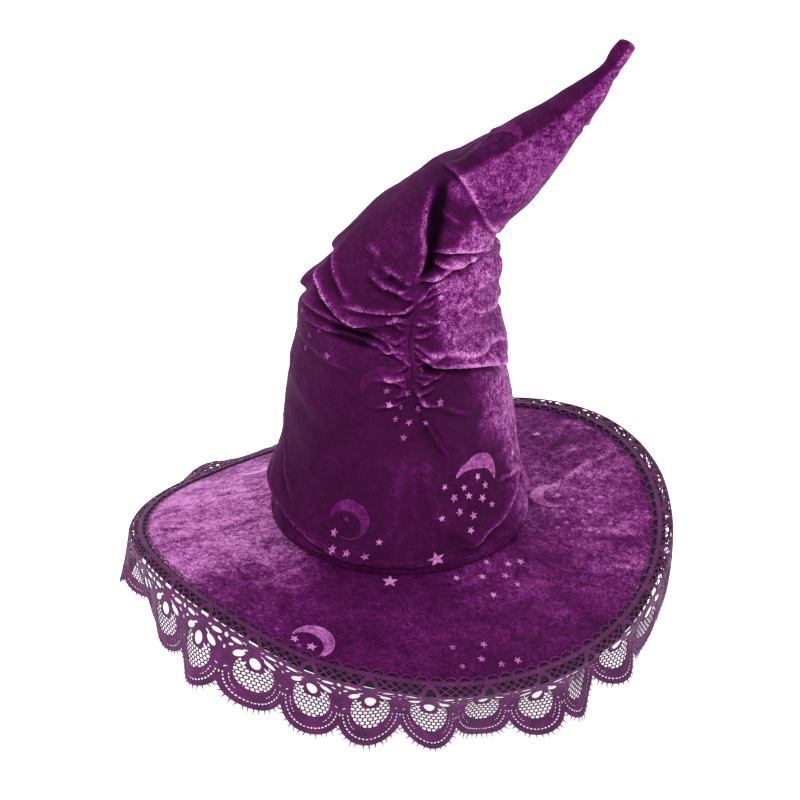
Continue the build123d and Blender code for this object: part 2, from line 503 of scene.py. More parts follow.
class Folds:
    """Adds up folds drawn as paths on the crown, each point as (degrees from the front, distance along)."""

    def __init__(self, angle, along):
        self.shape = along.shape
        self.across = np.degrees(angle).ravel()
        self.along = along.ravel()
        self.scale = np.radians(1) * crown_radius(self.along)
        self.out = np.zeros(self.along.shape)
        self.down = np.zeros(self.along.shape)
        self.sheen_and_shade = np.zeros(self.along.shape)

    def near(self, path, turn, margin):
        """The points near a path: which, their signed distance above it, and how far along it they are."""
        path = smooth_curve(np.arange(len(path)), path, np.linspace(0, len(path) - 1, 4 * len(path) - 3))
        across = wrap_degrees(self.across - turn)
        low, high = path.min(0), path.max(0)
        reach = margin / np.maximum(self.scale, 0.1)
        pick = np.nonzero(
            (across > low[0] - reach) & (across < high[0] + reach)
            & (self.along > low[1] - margin) & (self.along < high[1] + margin)
        )[0]
        across, along, scale = across[pick], self.along[pick], self.scale[pick]
        best = np.full(len(pick), 1e9)
        side = np.ones(len(pick))
        place = np.zeros(len(pick))
        for i in range(len(path) - 1):
            ax, ay = (path[i, 0] - across) * scale, path[i, 1] - along
            bx, by = (path[i + 1, 0] - across) * scale, path[i + 1, 1] - along
            dx, dy = bx - ax, by - ay
            t = np.clip(-(ax * dx + ay * dy) / np.maximum(dx * dx + dy * dy, 1e-9), 0, 1)
            px, py = ax + t * dx, ay + t * dy
            distance = np.hypot(px, py)
            closer = distance < best
            best = np.where(closer, distance, best)
            side = np.where(closer, np.sign(dy * px - dx * py + 1e-12), side)
            place = np.where(closer, (i + t) / (len(path) - 1), place)
        return pick, best * side, place

    def roll(self, path, rise, above, below, slump=0.0, dip=0.0, turn=0.0, ends=0.22, shine=0.0):
        """A soft roll of cloth: it swells above its path, drops sharply below it and sags over the dip."""
        pick, distance, place = self.near(path, turn, 2.2 * above + 4 * below + 4)
        fade = step(0, ends, place) * step(0, ends, 1 - place)
        width = np.where(distance > 0, above, below)
        crest = bell(distance, width)
        hollow = bell(distance + 1.9 * below, 1.3 * below)
        self.out[pick] += fade * (rise * crest - dip * hollow)
        self.down[pick] += fade * slump * crest
        # painted highlight along the crest, and painted shade in the hollow below it
        self.sheen_and_shade[pick] += fade * (shine * bell(distance, 1.5) - 0.03 * dip * hollow)

    def pleat(self, path, depth, width, turn=0.0, ends=0.2, shine=0.0):
        """A sewn or pressed-in line, with the cloth standing up on both sides."""
        pick, distance, place = self.near(path, turn, 6 * width + 3)
        fade = step(0, ends, place) * step(0, ends, 1 - place)
        groove = bell(distance, width)
        banks = bell(np.abs(distance) - 2.0 * width, 1.2 * width)
        self.out[pick] += fade * depth * (0.45 * banks - groove)
        # painted highlight on the banks, and painted shade in the groove
        self.sheen_and_shade[pick] += fade * (shine * banks - 0.02 * depth * groove)

    def flap(self, path, rise, back, edge, slump=0.0, turn=0.0, ends=0.15, shine=0.1):
        """Cloth that lies over the cloth below its path: a sharp edge, then a long ease back above it."""
        pick, distance, place = self.near(path, turn, 2.4 * back + 4 * edge + 4)
        fade = step(0, ends, place) * step(0, ends, 1 - place)
        over = np.where(distance > 0, bell(distance, back), step(-edge, 0, distance))
        self.out[pick] += fade * rise * over
        self.down[pick] += fade * slump * over
        # painted highlight along the edge, then painted shade under it
        self.sheen_and_shade[pick] += fade * shine * bell(distance - 0.5, 1.3)
        self.sheen_and_shade[pick] -= fade * 0.022 * rise * bell(distance + edge + 1, edge + 2.5)

    def field(self, name):
        return getattr(self, name).reshape(self.shape)


def big_folds(folds):
    """The slack crown: what hangs over, and what it hangs over."""
    # the lobe on the left, over its dark hollow
    folds.roll([(-106, 227), (-88, 227), (-64, 221), (-46, 213), (-30, 206), (-16, 204), (-2, 209)],
               7.5, 30, 5, 5, 5, ends=0.34)
    folds.roll([(-140, 226), (-104, 224), (-68, 222)], -6.0, 30, 24, 0, 0, ends=0.34)
    folds.roll([(-44, 204), (-34, 201), (-24, 199), (-14, 198)], -1.5, 5, 5, 0, 6.5, ends=0.3)
    # the deep pleat between the lobe and the panel under the tip
    folds.roll([(-1, 226), (1, 237), (-4, 252), (-14, 264), (-31, 280), (-44, 291), (-62, 306)],
               6.0, 24, 3.0, 0, 8.5)
    # the panel lies over the foot of the tip
    folds.flap([(-1, 228), (4, 246), (20, 262), (43, 264), (64, 262)], -3.0, 12, 9, 0, shine=0)
    # rolls under the panel, then the slack bulges down the right side
    folds.roll([(-2, 256), (12, 260), (26, 261), (43, 262), (60, 262)], 6.0, 16, 3.4, 4, 5.5, ends=0.3)
    folds.roll([(6, 254), (16, 248), (26, 249), (38, 254)], 4.0, 4.5, 3, 2, 4)
    folds.roll([(0, 233), (10, 236), (21, 242), (33, 248), (50, 254), (72, 258)], 4.2, 7, 3.2, 3, 3.5)
    folds.roll([(22, 224), (46, 228), (68, 230), (88, 231)], 7.0, 15, 15, 0, 0, ends=0.3)
    folds.roll([(56, 262), (88, 256), (120, 258)], -10.5, 18, 18, 0, 0, ends=0.35)
    folds.roll([(34, 203), (56, 199), (76, 196), (94, 198)], 3.5, 13, 5, 2, 2.5, ends=0.3)
    folds.roll([(64, 192), (92, 190), (124, 194)], -5.5, 14, 9, 0, 0, ends=0.35)
    folds.roll([(9, 175), (18, 175), (28, 173), (48, 166), (74, 153), (96, 150), (118, 156)],
               7.5, 12, 3.6, 5, 5.5)
    folds.roll([(64, 152), (92, 146), (124, 150)], -7.0, 12, 14, 0, 0, ends=0.35)
    # the crown sags over its own foot
    folds.roll([(-104, 56), (-76, 42), (-49, 31), (-27, 21), (-8, 13)], 4.2, 16, 3.2, 3, 2.5)
    folds.roll([(26, 18), (38, 26), (51, 36), (66, 48), (80, 62)], 4.2, 15, 3.2, 3, 3.0)
    folds.roll([(70, 66), (80, 44), (92, 26), (112, 20)], 3.6, 10, 6, 2, 1.5)
    # slack down the front and at the left
    folds.roll([(-104, 152), (-76, 140), (-48, 128), (-22, 124)], 1.8, 18, 10, 1, 1.2)
    folds.roll([(6, 160), (12, 146), (18, 138), (25, 111), (31, 86)], 2.4, 12, 5, 0, 1.2)


def tip_hollow(folds):
    """The upper side of the tip falls away behind the panel's edge."""
    folds.roll([(-146, 322), (-100, 322), (-58, 324)], -5.5, 24, 9, 0, 0, ends=0.3)


def back_folds(folds):
    for turn, flip in ((180, 1), (122, -1), (-128, 1)):
        folds.roll([(-60 * flip, 196), (-24 * flip, 190), (14 * flip, 196), (46 * flip, 206)],
                   5.5, 18, 4, 5, 4, turn)
        folds.roll([(-50 * flip, 236), (-16 * flip, 229), (20 * flip, 233), (52 * flip, 244)],
                   4.5, 10, 4, 4, 3, turn)
        folds.roll([(-44 * flip, 150), (-10 * flip, 160), (30 * flip, 152)], 3.5, 13, 5, 2, 2, turn)
    folds.roll([(-60, 24), (-26, 16), (10, 20), (44, 30), (78, 24)], 3.0, 12, 4, 3, 2.2, 180)
    folds.roll([(-30, 120), (-14, 84), (4, 60)], 2.2, 10, 6, 0, 1.2, 170)
    folds.roll([(34, 128), (20, 96), (16, 70)], 2.2, 10, 6, 0, 1.2, 200)
    folds.roll([(-64, 290), (-20, 280), (24, 278), (66, 286)], 3.5, 6, 4, 1, 2, 180)


def fine_folds(folds):
    """Creases and sharp edges, with painted highlights along them."""
    # the panel's edge, from under which the tip comes out
    folds.roll([(-98, 309), (-48, 315), (-8, 304), (29, 285), (54, 275), (70, 272)],
               2.6, 5, 1.5, 0.6, 1.2, shine=0.22)
    # sharp lips of the lobe, and the creases that run down into it
    folds.roll([(-91, 233), (-76, 225), (-62, 221), (-47, 213), (-37, 207), (-26, 204), (-19, 202)],
               2.0, 3.6, 1.5, 2, 1.5, shine=0.30)
    folds.roll([(-41, 214), (-24, 215), (-7, 211), (1, 212), (3, 218)], 2.4, 3.4, 1.5, 1.6, 1.6, shine=0.30)
    folds.roll([(-78, 242), (-66, 236), (-55, 230), (-44, 224), (-33, 217)],
               1.6, 3.6, 1.5, 1, 1.2, shine=0.24)
    folds.roll([(-84, 226), (-72, 222), (-58, 217), (-48, 209)], 1.4, 3, 1.5, 1, 1.0, shine=0.18)
    folds.roll([(-35, 238), (-25, 233), (-12, 227), (-1, 227)], 2.0, 3.2, 1.5, 1.2, 1.4, shine=0.28)
    folds.roll([(-31, 244), (-18, 238), (-8, 233), (-1, 231)], 1.6, 3.0, 1.5, 0.8, 1.1, shine=0.2)
    folds.roll([(-50, 250), (-40, 249), (-32, 246)], 1.2, 3, 2, 0.5, 0.6, shine=0.22)
    folds.roll([(-90, 212), (-72, 213), (-58, 212), (-44, 207)], 1.5, 3, 1.5, 1, 1.2, shine=0.2)
    # the pleat's lip and the pocket's edges
    folds.roll([(-1, 229), (1, 238), (-4, 253), (-14, 264), (-31, 280), (-43, 291), (-57, 302)],
               1.8, 3.0, 1.3, 0, 1.0, shine=0.26)
    folds.roll([(-50, 300), (-28, 288), (-8, 284), (10, 280)], 1.2, 4, 3, 0.5, 0.8, shine=0.12)
    folds.roll([(-4, 254), (12, 259), (26, 260), (44, 261), (62, 262)], 1.6, 2.6, 1.3, 0.6, 1.0, shine=0.32)
    folds.roll([(4, 251), (14, 246), (26, 247), (34, 252)], 1.4, 2.4, 1.3, 0.5, 1.0, shine=0.2)
    folds.roll([(-1, 231), (10, 234), (21, 241), (33, 247), (50, 253)], 1.6, 2.8, 1.3, 1, 1.2, shine=0.26)
    folds.roll([(4, 214), (9, 221), (15, 227), (24, 234)], 1.5, 3, 1.4, 0.6, 1.0, shine=0.2)
    folds.roll([(12, 226), (36, 223), (58, 222), (78, 218)], 1.0, 4, 3, 0.5, 0.6, shine=0.12)
    folds.roll([(40, 206), (58, 202), (78, 199), (96, 202)], 1.6, 3, 1.5, 1, 1.2, shine=0.24)
    folds.roll([(7, 200), (13, 202), (22, 204)], 1.2, 2.6, 1.4, 0.4, 0.8, shine=0.2, ends=0.3)
    # the shelf's two bright edges
    folds.roll([(8, 175), (18, 175), (28, 173), (48, 166), (74, 152), (92, 149)],
               1.8, 3, 1.3, 1.4, 1.6, shine=0.32)
    folds.roll([(8, 187), (18, 183), (30, 180), (48, 173), (64, 172), (82, 163), (100, 164)],
               1.8, 3.4, 1.4, 1, 1.2, shine=0.26)
    folds.roll([(10, 181), (28, 177), (46, 173)], 1.0, 2.4, 1.4, 0.4, 0.8, shine=0.16)
    # long lines that run down to the seam from the left
    folds.roll([(-94, 192), (-70, 198), (-50, 199), (-32, 196), (-13, 192), (-3, 184), (6, 177)],
               2.0, 5, 1.5, 1.2, 1.5, shine=0.2)
    folds.roll([(-78, 188), (-44, 190), (-20, 187), (-4, 181), (6, 174)], 1.6, 3.4, 1.5, 1, 1.2, shine=0.14)
    folds.roll([(-14, 197), (-4, 190), (6, 185)], 1.4, 2.6, 1.3, 0.8, 1.1, shine=0.2)
    folds.roll([(-5, 180), (2, 173), (6, 168)], 1.2, 2.6, 1.3, 0.5, 0.8, shine=0.22)
    folds.roll([(-84, 172), (-60, 170), (-40, 166), (-24, 162)], 1.2, 6, 3, 0.5, 0.8, shine=0.04)
    # creases fanning down from the end of the ruching
    folds.roll([(7, 152), (12, 144), (18, 138)], 1.6, 3, 1.4, 0.4, 1.0, shine=0.26, ends=0.3)
    folds.roll([(12, 138), (17, 122), (23, 104), (29, 88)], 1.2, 3, 2, 0.2, 0.6, shine=0.13, ends=0.3)
    folds.roll([(20, 140), (32, 130), (42, 122)], 1.4, 4, 2, 0.4, 0.8, shine=0.1, ends=0.35)
    folds.roll([(-12, 163), (-8, 160), (-3, 159), (5, 160)], 1.0, 2.4, 1.4, 0.3, 0.6, shine=0.24, ends=0.3)
    # lips at the foot
    folds.roll([(-118, 64), (-96, 50), (-76, 41), (-49, 30), (-27, 20), (-12, 13)],
               1.6, 3.6, 1.3, 1.2, 1.2, shine=0.2)
    folds.roll([(-84, 100), (-78, 76), (-66, 56), (-50, 42)], 1.2, 3.6, 1.6, 0.6, 0.8, shine=0.12, ends=0.3)
    folds.roll([(27, 17), (38, 25), (51, 36), (64, 47), (74, 60)], 1.6, 3.2, 1.3, 1, 1.3, shine=0.30)
    folds.roll([(52, 62), (64, 60), (76, 60)], 1.2, 3, 1.6, 0.6, 0.8, shine=0.24, ends=0.3)
    folds.roll([(62, 110), (70, 88), (76, 66)], 1.2, 4, 2, 0.3, 0.6, shine=0.1, ends=0.3)
    folds.roll([(70, 44), (82, 28), (98, 16)], 1.4, 3.6, 1.5, 0.8, 1.0, shine=0.16, ends=0.3)


def ruching(folds):
    """The elastic pulls the front seam up into short gathers on both sides."""
    folds.pleat([(SEAM_ANGLE, 142), (SEAM_ANGLE, 180), (SEAM_ANGLE, 228)], 0.7, 0.9, ends=0.3)
    gathers = 15
    for i in range(gathers):
        foot = 142 + GATHER_PITCH * i
        for side in (-1, 1):
            reach = (12, 20, 15, 24)[(i + side) % 4]
            rise = (-4, 3, 7, -1)[(i * side) % 4]
            path = [(SEAM_ANGLE + 0.8 * side, foot), (SEAM_ANGLE + side * reach * 0.5, foot + rise * 0.6),
                    (SEAM_ANGLE + side * reach, foot + 1.6 * rise)]
            if side < 0:
                path.reverse()
            folds.roll(path, 1.8, 1.9, 1.3, 0.5, 1.0, ends=0.35, shine=0.14)


def tip_folds(folds):
    """The creases of the tip's stuffing and its seams."""
    folds.pleat([(86, 290), (84, 350), (84, 400), (80, 446)], 0.9, 1.2, shine=0.05)
    folds.pleat([(BACK_SEAM_ANGLE - 360, 290), (BACK_SEAM_ANGLE - 360, 446)], 0.7, 1.2)
    for place, tilt in ((338, 8), (372, -6), (398, 9), (431, -5)):
        folds.roll([(-90, place - tilt), (-30, place), (30, place + tilt), (90, place + 2)],
                   0.8, 6, 3, 0.3, 0.5)
    folds.roll([(48, 386), (70, 380), (96, 378)], 1.6, 4, 2, 0.4, 1.2, shine=0.15, ends=0.3)
    folds.roll([(-120, 352), (-96, 350), (-76, 346)], 1.2, 4, 2, 0.4, 0.8, ends=0.3)


def resampled(field, rows, columns):
    """A closed grid's values looked up at fractions of its rows and columns."""
    r = np.clip(np.floor(rows).astype(int), 0, field.shape[0] - 2)
    c = np.floor(columns).astype(int)
    fr, fc = (rows - r), (columns - c)
    fr, fc = fr * fr * (3 - 2 * fr), fc
    fr, fc = fr[:, None, None], fc[None, :, None]
    c0, c1 = c % field.shape[1], (c + 1) % field.shape[1]
    low = field[r][:, c0] * (1 - fc) + field[r][:, c1] * fc
    high = field[r + 1][:, c0] * (1 - fc) + field[r + 1][:, c1] * fc
    return low * (1 - fr) + high * fr


def smoothed(field, times):
    for _ in range(times):
        sides = np.roll(field, 1, 1) + np.roll(field, -1, 1)
        ends = np.concatenate([field[:1], field[:-1]]) + np.concatenate([field[1:], field[-1:]])
        field = 0.5 * field + 0.125 * (sides + ends)
    return field


def cloth_sag(angle, along, base):
    """How far the crown's cloth, cut a little too large, moves in a short simulation."""
    grid = base
    obj = make_mesh("crown_sim", grid, grid_faces(SIM_ROWS, SIM_COLUMNS), [])
    held = obj.vertex_groups.new(name="held")
    grip = np.full(grid.shape[:2], 0.12)
    grip[:3] = 1.0
    grip[along > 400] = 0.5
    grip[-3:] = 1.0
    seam = np.abs(np.degrees(angle) - SEAM_ANGLE) < 3
    grip[seam & (along > 90) & (along < 240)] = 0.7
    for value in np.unique(grip):
        held.add([int(i) for i in np.nonzero(grip.ravel() == value)[0]], float(value), "REPLACE")
    cloth = obj.modifiers.new("Cloth", "CLOTH")
    settings = cloth.settings
    settings.quality = 6
    settings.mass = 0.25
    settings.tension_stiffness = 18
    settings.compression_stiffness = 10
    settings.shear_stiffness = 8
    settings.bending_stiffness = 0.3
    settings.vertex_group_mass = "held"
    settings.shrink_min = settings.shrink_max = -0.08
    cloth.collision_settings.use_collision = False
    cloth.collision_settings.use_self_collision = False
    frames, furthest = 16, 5.0
    cloth.point_cache.frame_start, cloth.point_cache.frame_end = 1, frames
    scene = bpy.context.scene
    for number in range(1, frames + 1):
        scene.frame_set(number)
    shown = obj.evaluated_get(bpy.context.evaluated_depsgraph_get())
    points = np.empty(3 * grid.shape[0] * grid.shape[1])
    shown.data.vertices.foreach_get("co", points)
    bpy.data.objects.remove(obj)
    scene.frame_set(1)
    moved = points.reshape(grid.shape) / MM - grid
    far = np.linalg.norm(moved, axis=-1, keepdims=True)
    return smoothed(moved * np.minimum(1, furthest / np.maximum(far, 1e-6)), 2)


def pushed(base, folds, calm):
    """The grid moved out along its normals, and down along its columns, by the folds."""
    tangent = np.gradient(base, axis=0)
    tangent /= np.linalg.norm(tangent, axis=-1, keepdims=True)
    out, down = calm * folds.field("out"), calm * folds.field("down")
    return base + out[..., None] * grid_normals(base) - down[..., None] * tangent


def crown_calm(along):
    return step(0, 12, along) * step(0, 20, LENGTH - along)


def coarse_crown():
    """The simulated movement on a coarse grid, as (rows, columns, 3)."""
    along, angle = np.meshgrid(np.linspace(0, LENGTH, SIM_ROWS), column_angles(SIM_COLUMNS), indexing="ij")
    folds = Folds(angle, along)
    big_folds(folds)
    tip_hollow(folds)
    back_folds(folds)
    grid = pushed(crown_base(angle, along), folds, crown_calm(along))
    return cloth_sag(angle, along, grid)


def crown_grid():
    """The velvet's surface, its angles and distances along, and the painted highlights and shade along its
    folds.
    """
    angles, alongs = column_angles(CROWN_COLUMNS), np.linspace(0, LENGTH, CROWN_ROWS)
    along, angle = np.meshgrid(alongs, angles, indexing="ij")
    calm = crown_calm(along)
    folds = Folds(angle, along)
    big_folds(folds)
    tip_hollow(folds)
    back_folds(folds)
    base = crown_base(angle, along)
    slack = noise(base * [1, 1, 0.6], 46, 3, 3) * 1.3 + noise(base + 50, 17, 9, 2) * 0.35
    folds.out += slack.ravel()
    grid = pushed(base, folds, calm)
    rows = np.linspace(0, SIM_ROWS - 1, CROWN_ROWS)
    columns = np.arange(CROWN_COLUMNS) * SIM_COLUMNS / CROWN_COLUMNS
    slack_part = calm * (1 - 0.75 * step(215, 300, along))
    grid = grid + slack_part[..., None] * resampled(coarse_crown(), rows, columns)
    fine = Folds(angle, along)
    fine_folds(fine)
    ruching(fine)
    tip_folds(fine)
    fine.out += noise(grid * [1, 1, 1.6], 7, 21, 2).ravel() * 0.16
    grid = pushed(grid, fine, calm)
    # the sweatband and its tape hold the hollows at the foot out
    least = np.interp(grid[..., 2], [0, 12, 20, 30, 46], [98.6, 98.6, 97.2, 96.8, 90], right=0)
    held_out = np.maximum(1, least / np.maximum(np.hypot(grid[..., 0], grid[..., 1]), 1))
    grid = grid * np.stack([held_out, held_out, np.ones_like(held_out)], -1)
    # the foot turns in to the seam
    foot = np.exp(-along / 2.2)
    grid = grid - (0.035 * foot)[..., None] * grid * [1, 1, 0]
    # painted highlights on the fold crests and painted shade in their hollows
    return grid, angles, alongs, (folds.field("sheen_and_shade") + fine.field("sheen_and_shade")) * calm


def relief(grid, times=14):
    """How far each point stands out of the surface round it: crests above 0, hollows below."""
    smooth = smoothed(grid, times)
    return ((grid - smooth) * grid_normals(smooth)).sum(-1)


class Surface:
    """A finished grid that a print can be laid on, looked up by fractions of its columns and rows."""

    def __init__(self, grid, sheen_and_shade):
        self.grid, self.normal, self.sheen_and_shade = grid, grid_normals(grid), sheen_and_shade[..., None]

    def at(self, column, row):
        rows, columns = self.grid.shape[:2]
        row = np.clip(row, 0, rows - 1.001)
        r, c = np.floor(row).astype(int), np.floor(column).astype(int)
        fr, fc = (row - r)[..., None], (column - c)[..., None]
        c0, c1 = c % columns, (c + 1) % columns

        def mix(a):
            low = a[r, c0] * (1 - fc) + a[r, c1] * fc
            high = a[r + 1, c0] * (1 - fc) + a[r + 1, c1] * fc
            return low * (1 - fr) + high * fr

        return mix(self.grid), mix(self.normal), mix(self.sheen_and_shade)[..., 0]


def star_shape(size):
    """A five-pointed star, size across, as rings of points from its middle."""
    corners = 20
    angle = np.pi / 2 + 2 * np.pi * np.arange(corners) / corners
    radius = np.choose(np.arange(corners) % 4, [1.0, 0.62, 0.42, 0.62])
    rings = [0.02, 0.35, 0.7, 1.0]
    outline = np.stack([radius * np.cos(angle), radius * np.sin(angle)], -1)
    return np.array([k * size / 2 * outline for k in rings]), True


def crescent_shape(size, hollow=0.34, reach=124):
    """A crescent moon, size across, open to the right, as bands of points across its arc."""
    sweep = np.radians(np.linspace(-reach, reach, 61))
    outer = np.stack([-np.cos(sweep), np.sin(sweep)], -1)
    thick = 2 * hollow * np.cos(sweep * 90 / reach * 0.98) ** 0.8
    bands = [outer * (1 - thick * k)[:, None] for k in np.linspace(0, 1, 8)]
    return np.array(bands) * size / 2, False


def rim_shape(size):
    """A thin crescent: the painted highlight along the edge of a moon that lies in shade."""
    return crescent_shape(size, 0.06, 120)


def half_moon_shape(size):
    """A short, thick crescent."""
    return crescent_shape(size, 0.33, 100)


SHAPES = {"star": star_shape, "moon": crescent_shape, "half_moon": half_moon_shape, "rim": rim_shape}
# how much brighter than the velvet round it each kind of print is; the rim is a painted highlight
INK = {"star": 0.66, "moon": 0.50, "half_moon": 0.50, "rim": 0.55}

# one repeat of the print: (kind, x, y, size, turn) in millimetres and degrees
MOTIF = [
    ("moon", 0, 0, 32, -88),
    ("star", 1, -6, 6.5, 10),
    ("star", -12, -12, 6.0, 0),
    ("star", -28, -7, 5.5, 20),
    ("star", 7, -17, 6.5, -12),
    ("star", -21, -20, 7.0, 14),
    ("star", -9, -21, 6.5, -8),
    ("star", 2, -27, 7.5, 25),
    ("star", -32, -34, 5.5, 0),
    ("star", -18, -34, 6.0, 12),
    ("star", 9, -36, 5.5, -16),
    ("star", -8, -41, 6.0, 4),
    ("star", -12, -52, 5.5, 30),
]
MOON_AND_STARS = MOTIF[:4]
CLOSE_STARS = [(kind, 1.03 * x, 0.8 * y, size, turn) for kind, x, y, size, turn in MOTIF[1:]]
HALF_MOON = [("half_moon", 1, -4.5, 34.5, -112)]
# a moon in the fold's shade: printed faint, with a painted highlight along its rim
SHADED_MOON = [("moon", 0, 0, 27, -110), ("rim", 0, 0, 28, -178), ("star", -2, -1, 5, 0)]
LOW_STARS = [("star", -10, -12, 6.5, 0), ("star", -7, -22, 6.5, 20), ("star", 4, -22, 6.5, -8),
             ("star", 17, -24, 6.5, 14), ("star", 26, -12, 6.0, 4)]
EDGE_MOON = [("moon", 0, 0, 32, -114), ("star", -12, -6, 7, 0), ("star", 1, -6, 8.5, 10)]
BIG_STAR = [("star", 0, 0, 14, 2)]


def loose_stars(surface, at, clusters, lift):
    """Small stars one by one: clusters of (strength, places)."""
    prints = []
    for strength, places in clusters:
        for i, place in enumerate(places):
            star = [("star", 0, 0, 5.6 + 0.5 * (i % 3), 31 * i % 72)]
            prints.append(laid(surface, at(*place), star, lift=lift, strength=strength))
    return prints


def laid(surface, place, shapes, turn=0.0, lift=0.35, scale=1.0, strength=1.0, stretch=1.0):
    """A print laid on a surface, as points, faces and the painted sheen and shade under it with the ink's
    brightness added; place maps (x, y) in millimetres to its grid.
    """
    points, faces, sheen_shade_and_ink, count = [], [], [], 0
    spin = math.radians(turn)
    for kind, x, y, size, own_turn in shapes:
        shape, closed = SHAPES[kind](size * scale)
        own = math.radians(own_turn)
        sx = shape[..., 0] * math.cos(own) - shape[..., 1] * math.sin(own) + x * scale
        sy = shape[..., 0] * math.sin(own) + shape[..., 1] * math.cos(own) + y * scale
        rx = stretch * (sx * math.cos(spin) - sy * math.sin(spin))
        ry = sx * math.sin(spin) + sy * math.cos(spin)
        position, normal, sheen_and_shade = surface.at(*place(rx, ry))
        points.append((position + lift * normal).reshape(-1, 3))
        sheen_shade_and_ink.append((sheen_and_shade + strength * INK[kind]).ravel())
        faces.append(grid_faces(shape.shape[0], shape.shape[1], closed)[:, ::-1] + count)
        count += len(points[-1])
    return np.concatenate(points), np.concatenate(faces), np.concatenate(sheen_shade_and_ink)


def gather(parts):
    """Joins (points, faces, painted sheen and shade) lists into one."""
    points, faces, sheen_shade_and_ink, count = [], [], [], 0
    for p, f, n in parts:
        points.append(p)
        faces.append(f + count)
        sheen_shade_and_ink.append(n)
        count += len(p)
    return np.concatenate(points), np.concatenate(faces), np.concatenate(sheen_shade_and_ink)


def crown_sheen_and_shade(grid, angles, alongs, folded):
    """Painted sheen and shade on the crown: dark at the front, paler down the right side and along the tip.
    """
    along, angle = np.meshgrid(alongs, angles, indexing="ij")
    d = np.degrees(angle)
    ragged = 7 * noise(grid, 24, 61, 3)
    edge = np.interp(along, [0, 60, 75, 110, 150, 168, 185, 262, 300], [78, 66, 60, 53, 46, 38, 24, 16, 4])
    front = step(-9, 9, d + ragged - edge) * step(165, 140, d)
    low_right = step(52, 66, d + ragged) * step(120, 96, d) * step(120, 100, along)
    low_front = step(180, 150, along) * step(-80, -40, d) * step(60, 20, d)
    tip_edge = np.interp(along, [290, 330, 400, 445], [-44, -34, -22, 2])
    tip = step(-6, 6, d + 0.8 * ragged - tip_edge) * step(292, 304, along)
    under = step(-112, -88, d) * step(-10, -40, d) * step(196, 204, along) * step(300, 280, along)
    # painted sheen, region by region
    sheen_and_shade = 0.20 + 0.33 * front * step(300, 280, along) + 0.26 * tip + 0.02 * under
    sheen_and_shade = sheen_and_shade - 0.03 * low_front + 0.07 * low_right
    back = step(100, 140, np.abs(d))
    sheen_and_shade = sheen_and_shade + back * (0.12 + 0.10 * noise(grid, 70, 33, 3))
    # the painted highlights and shade of the folds
    sheen_and_shade = sheen_and_shade + folded
    # painted highlights on crests and painted shade in hollows, from the surface's relief
    sheen_and_shade = sheen_and_shade + 0.085 * np.clip(relief(grid, 10), -1.6, 1.8) + 0.02 * np.clip(relief(grid, 60), -4, 4)
    return sheen_and_shade + 0.05 * noise(grid, 42, 31, 3)


def inner_surface(grid, angles, alongs, inset):
    """A calm surface, set in below the velvet's hollows, with fewer rows and columns."""
    along, angle = np.meshgrid(alongs, angles, indexing="ij")
    base = crown_base(angle, along)
    normal = grid_normals(base)
    depth = ((grid - base) * normal).sum(-1)
    for shift in (1, 2, 4, 7):
        for axis in (0, 1):
            depth = np.minimum(depth, np.minimum(np.roll(depth, shift, axis), np.roll(depth, -shift, axis)))
    depth = smoothed(np.minimum(depth, 0), 24) - inset
    depth = np.maximum(depth, -0.72 * crown_radius(along))
    return (base + depth[..., None] * normal)[::INNER_STEP, ::INNER_STEP], alongs[::INNER_STEP]


def shell(name, outer, inner, material):
    """A closed sheet of cloth between two grids."""
    rows, columns = outer.shape[:2]
    faces = grid_faces(rows, columns)
    count = rows * columns
    c = np.arange(columns)
    n = (c + 1) % columns
    foot = np.stack([c, c + count, n + count, n], -1)
    last = (rows - 1) * columns
    top = np.stack([last + c, last + n, last + n + count, last + c + count], -1)
    points = np.concatenate([outer.reshape(-1, 3), inner.reshape(-1, 3)])
    return make_mesh(name, points, np.concatenate([faces, faces[:, ::-1] + count, foot, top]), [material])


def thinned(grid, thickness):
    """The grid, moved in by a thickness."""
    return grid - thickness * grid_normals(grid)


INNER_STEP = 4  # the inner surface keeps one in this many of the velvet's rows and columns
FOAM_INSET, FOAM_THICK = 1.6, 1.6
LINING_INSET, LINING_THICK = 1.9, 0.5
LINING_TOP = 186  # how far up the crown the lining goes before it closes
ELASTIC_FOOT, ELASTIC_LONG, ELASTIC_WIDE, ELASTIC_THICK = 100, 112, 6, 0.6
GATHER_PITCH = 5.4


def make_foam(surface, along):
    """The foam interlining, under the velvet's hollows."""
    rows = (along > 3) & (along < 436)
    foam = shell("foam_interlining", surface[rows], thinned(surface, FOAM_THICK)[rows], CAD_MATERIALS["foam"])
    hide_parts("crown_interlining", "tip_interlining")
    bend_with_tip(foam)


def make_lining(surface, along):
    """The lining, which ends in a gathered round top."""
    lined = thinned(surface, LINING_INSET)[(along > 2) & (along < LINING_TOP)]
    ripple = noise(lined, 30, 71, 2) * step(20, 60, lined[..., 2])
    lined = lined - (0.5 * np.abs(ripple))[..., None] * grid_normals(lined)
    centre = lined[-1].mean(0)
    rings = []
    for k in np.linspace(0.94, 0.04, 16):
        ring = centre + (lined[-1] - centre) * k
        pleats = np.sin(np.arange(len(ring)) * 2 * np.pi * 34 / len(ring)) * 1.1 * k
        ring[:, 2] += 5 * (1 - k) + pleats * step(1.0, 0.8, k)
        rings.append(ring)
    lined = np.concatenate([lined, rings])
    lining = fasten(shell("lining", lined, thinned(lined, LINING_THICK), LINING), "lining", "crown_lining")


